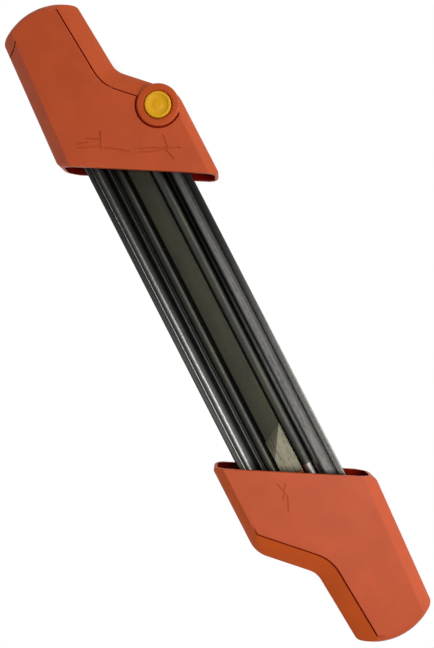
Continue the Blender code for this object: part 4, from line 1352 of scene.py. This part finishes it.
# Camera: over the middle of the shaft, nearly square on to the tool
PHOTO_TURN = math.radians(-117.2)
PHOTO_TILT_X = math.radians(0.72)
PHOTO_TILT_Y = math.radians(0.81)
CAMERA_DISTANCE = 435.6 * MM
PHOTO_HEIGHT = 648
MIDDLE_RIGHT = -0.75
MIDDLE_UP = 2.9
PIXEL = 0.5 * MM
SENSOR = 36


def make_camera():
    data = bpy.data.cameras.new("camera")
    data.sensor_width = SENSOR
    data.lens = SENSOR * CAMERA_DISTANCE / (PIXEL * PHOTO_HEIGHT)
    data.shift_x = -MIDDLE_RIGHT / PHOTO_HEIGHT
    data.shift_y = -MIDDLE_UP / PHOTO_HEIGHT
    data.clip_start = 10 * MM
    turned = Matrix.Rotation(PHOTO_TURN, 4, "Z") @ Matrix.Rotation(PHOTO_TILT_X, 4, "X")
    turned = turned @ Matrix.Rotation(PHOTO_TILT_Y, 4, "Y")
    camera = bpy.data.objects.new("camera", data)
    place = Vector((0, 0, MID_Z)) + turned.col[2].to_3d() * CAMERA_DISTANCE
    camera.matrix_world = Matrix.Translation(place) @ turned
    bpy.context.scene.collection.objects.link(camera)
    bpy.context.scene.camera = camera


def area_light(name, place, target, size_x, size_y, power):
    light = bpy.data.lights.new(name, "AREA")
    light.shape = "RECTANGLE"
    light.size = size_x
    light.size_y = size_y
    light.energy = power
    lamp = bpy.data.objects.new(name, light)
    lamp.location = place
    lamp.rotation_euler = (Vector(target) - Vector(place)).to_track_quat("-Z", "Y").to_euler()
    bpy.context.scene.collection.objects.link(lamp)


def seen_rays(tree):
    """1 for rays from the camera, off a gloss or through a clear piece, and 0 for the rest."""
    path = tree.nodes.new("ShaderNodeLightPath")
    seen = maths(tree, "ADD", path.outputs["Is Camera Ray"], path.outputs["Is Transmission Ray"])
    return maths(tree, "ADD", seen, path.outputs["Is Glossy Ray"])


def floor_shade(tree, place):
    """How white the floor's glow shows: a painted shadow, from the occlusion node, where the tool stands over
    it, lifted beside the shaft but not in the strip under it.
    """
    cover = tree.nodes.new("ShaderNodeAmbientOcclusion")
    cover.samples = COVER_SAMPLES
    cover.inputs["Distance"].default_value = FLOOR_COVER
    split = tree.nodes.new("ShaderNodeSeparateXYZ")
    tree.links.new(place, split.inputs["Vector"])
    aside = maths(tree, "ABSOLUTE", maths(tree, "SUBTRACT", split.outputs["Y"], SHAFT_Y), 0.0)
    aside_share = maths(tree, "MULTIPLY", aside, 1 / FLOOR_COVER)
    clear = ramp(tree, aside_share, ((SHAFT_SHARE, 0.0), (SHAFT_SHARE + SHAFT_FADE, 1.0)))
    open_sky = maths(tree, "ADD", cover.outputs["AO"], maths(tree, "MULTIPLY", clear, FLOOR_LIFT))
    shade = ramp(tree, open_sky, FLOOR_GREYS)
    return maths(tree, "MAXIMUM", shade, maths(tree, "MULTIPLY", clear, LEAST_SHADE))


def make_floor():
    """A pale floor, which shows white where it is open, with a painted shadow where the tool stands over it.
    """
    floor_builder = bmesh.new()
    bmesh.ops.create_grid(floor_builder, x_segments=1, y_segments=1, size=FLOOR_SIZE)
    floor = new_object("floor", floor_builder)
    material, tree, shader, place = node_tree("floor_white")
    tree.nodes.remove(shader)
    diffuse = tree.nodes.new("ShaderNodeBsdfDiffuse")
    diffuse.inputs["Color"].default_value = FLOOR_COLOUR
    glow = tree.nodes.new("ShaderNodeEmission")
    tree.links.new(floor_shade(tree, place), glow.inputs["Color"])
    mix = tree.nodes.new("ShaderNodeMixShader")
    tree.links.new(seen_rays(tree), mix.inputs["Fac"])
    tree.links.new(diffuse.outputs["BSDF"], mix.inputs[1])
    tree.links.new(glow.outputs["Emission"], mix.inputs[2])
    tree.links.new(mix.outputs["Shader"], tree.nodes["Material Output"].inputs["Surface"])
    floor.data.materials.append(material)


def make_world():
    """A studio dome: pale low down, dark overhead, brighter on the shaft's right; its foot shows white."""
    world = bpy.data.worlds.new("studio")
    bpy.context.scene.world = world
    world.use_nodes = True
    tree = world.node_tree
    direction = tree.nodes.new("ShaderNodeTexCoord").outputs["Generated"]
    split = tree.nodes.new("ShaderNodeSeparateXYZ")
    tree.links.new(direction, split.inputs["Vector"])
    height = ramp(tree, split.outputs["Z"], DOME_GREYS)
    side = ramp(tree, share_along(tree, direction, "Y", -1.0, 1.0), DOME_SIDE_GREYS)
    foot = ramp(tree, split.outputs["Z"], ((DOME_FOOT, 1.0), (DOME_FOOT + DOME_FOOT_FADE, 0.0)))
    mix = tree.nodes.new("ShaderNodeMix")
    mix.data_type = "RGBA"
    tree.links.new(maths(tree, "MULTIPLY", seen_rays(tree), foot), mix.inputs["Factor"])
    tree.links.new(multiplied(tree, height, side), mix.inputs[6])
    mix.inputs[7].default_value = (1, 1, 1, 1)
    tree.links.new(mix.outputs[2], tree.nodes["Background"].inputs["Color"])


make_camera()
for light in LIGHTS:
    area_light(*light)
make_floor()
make_world()
bpy.context.scene.view_settings.view_transform = "Standard"
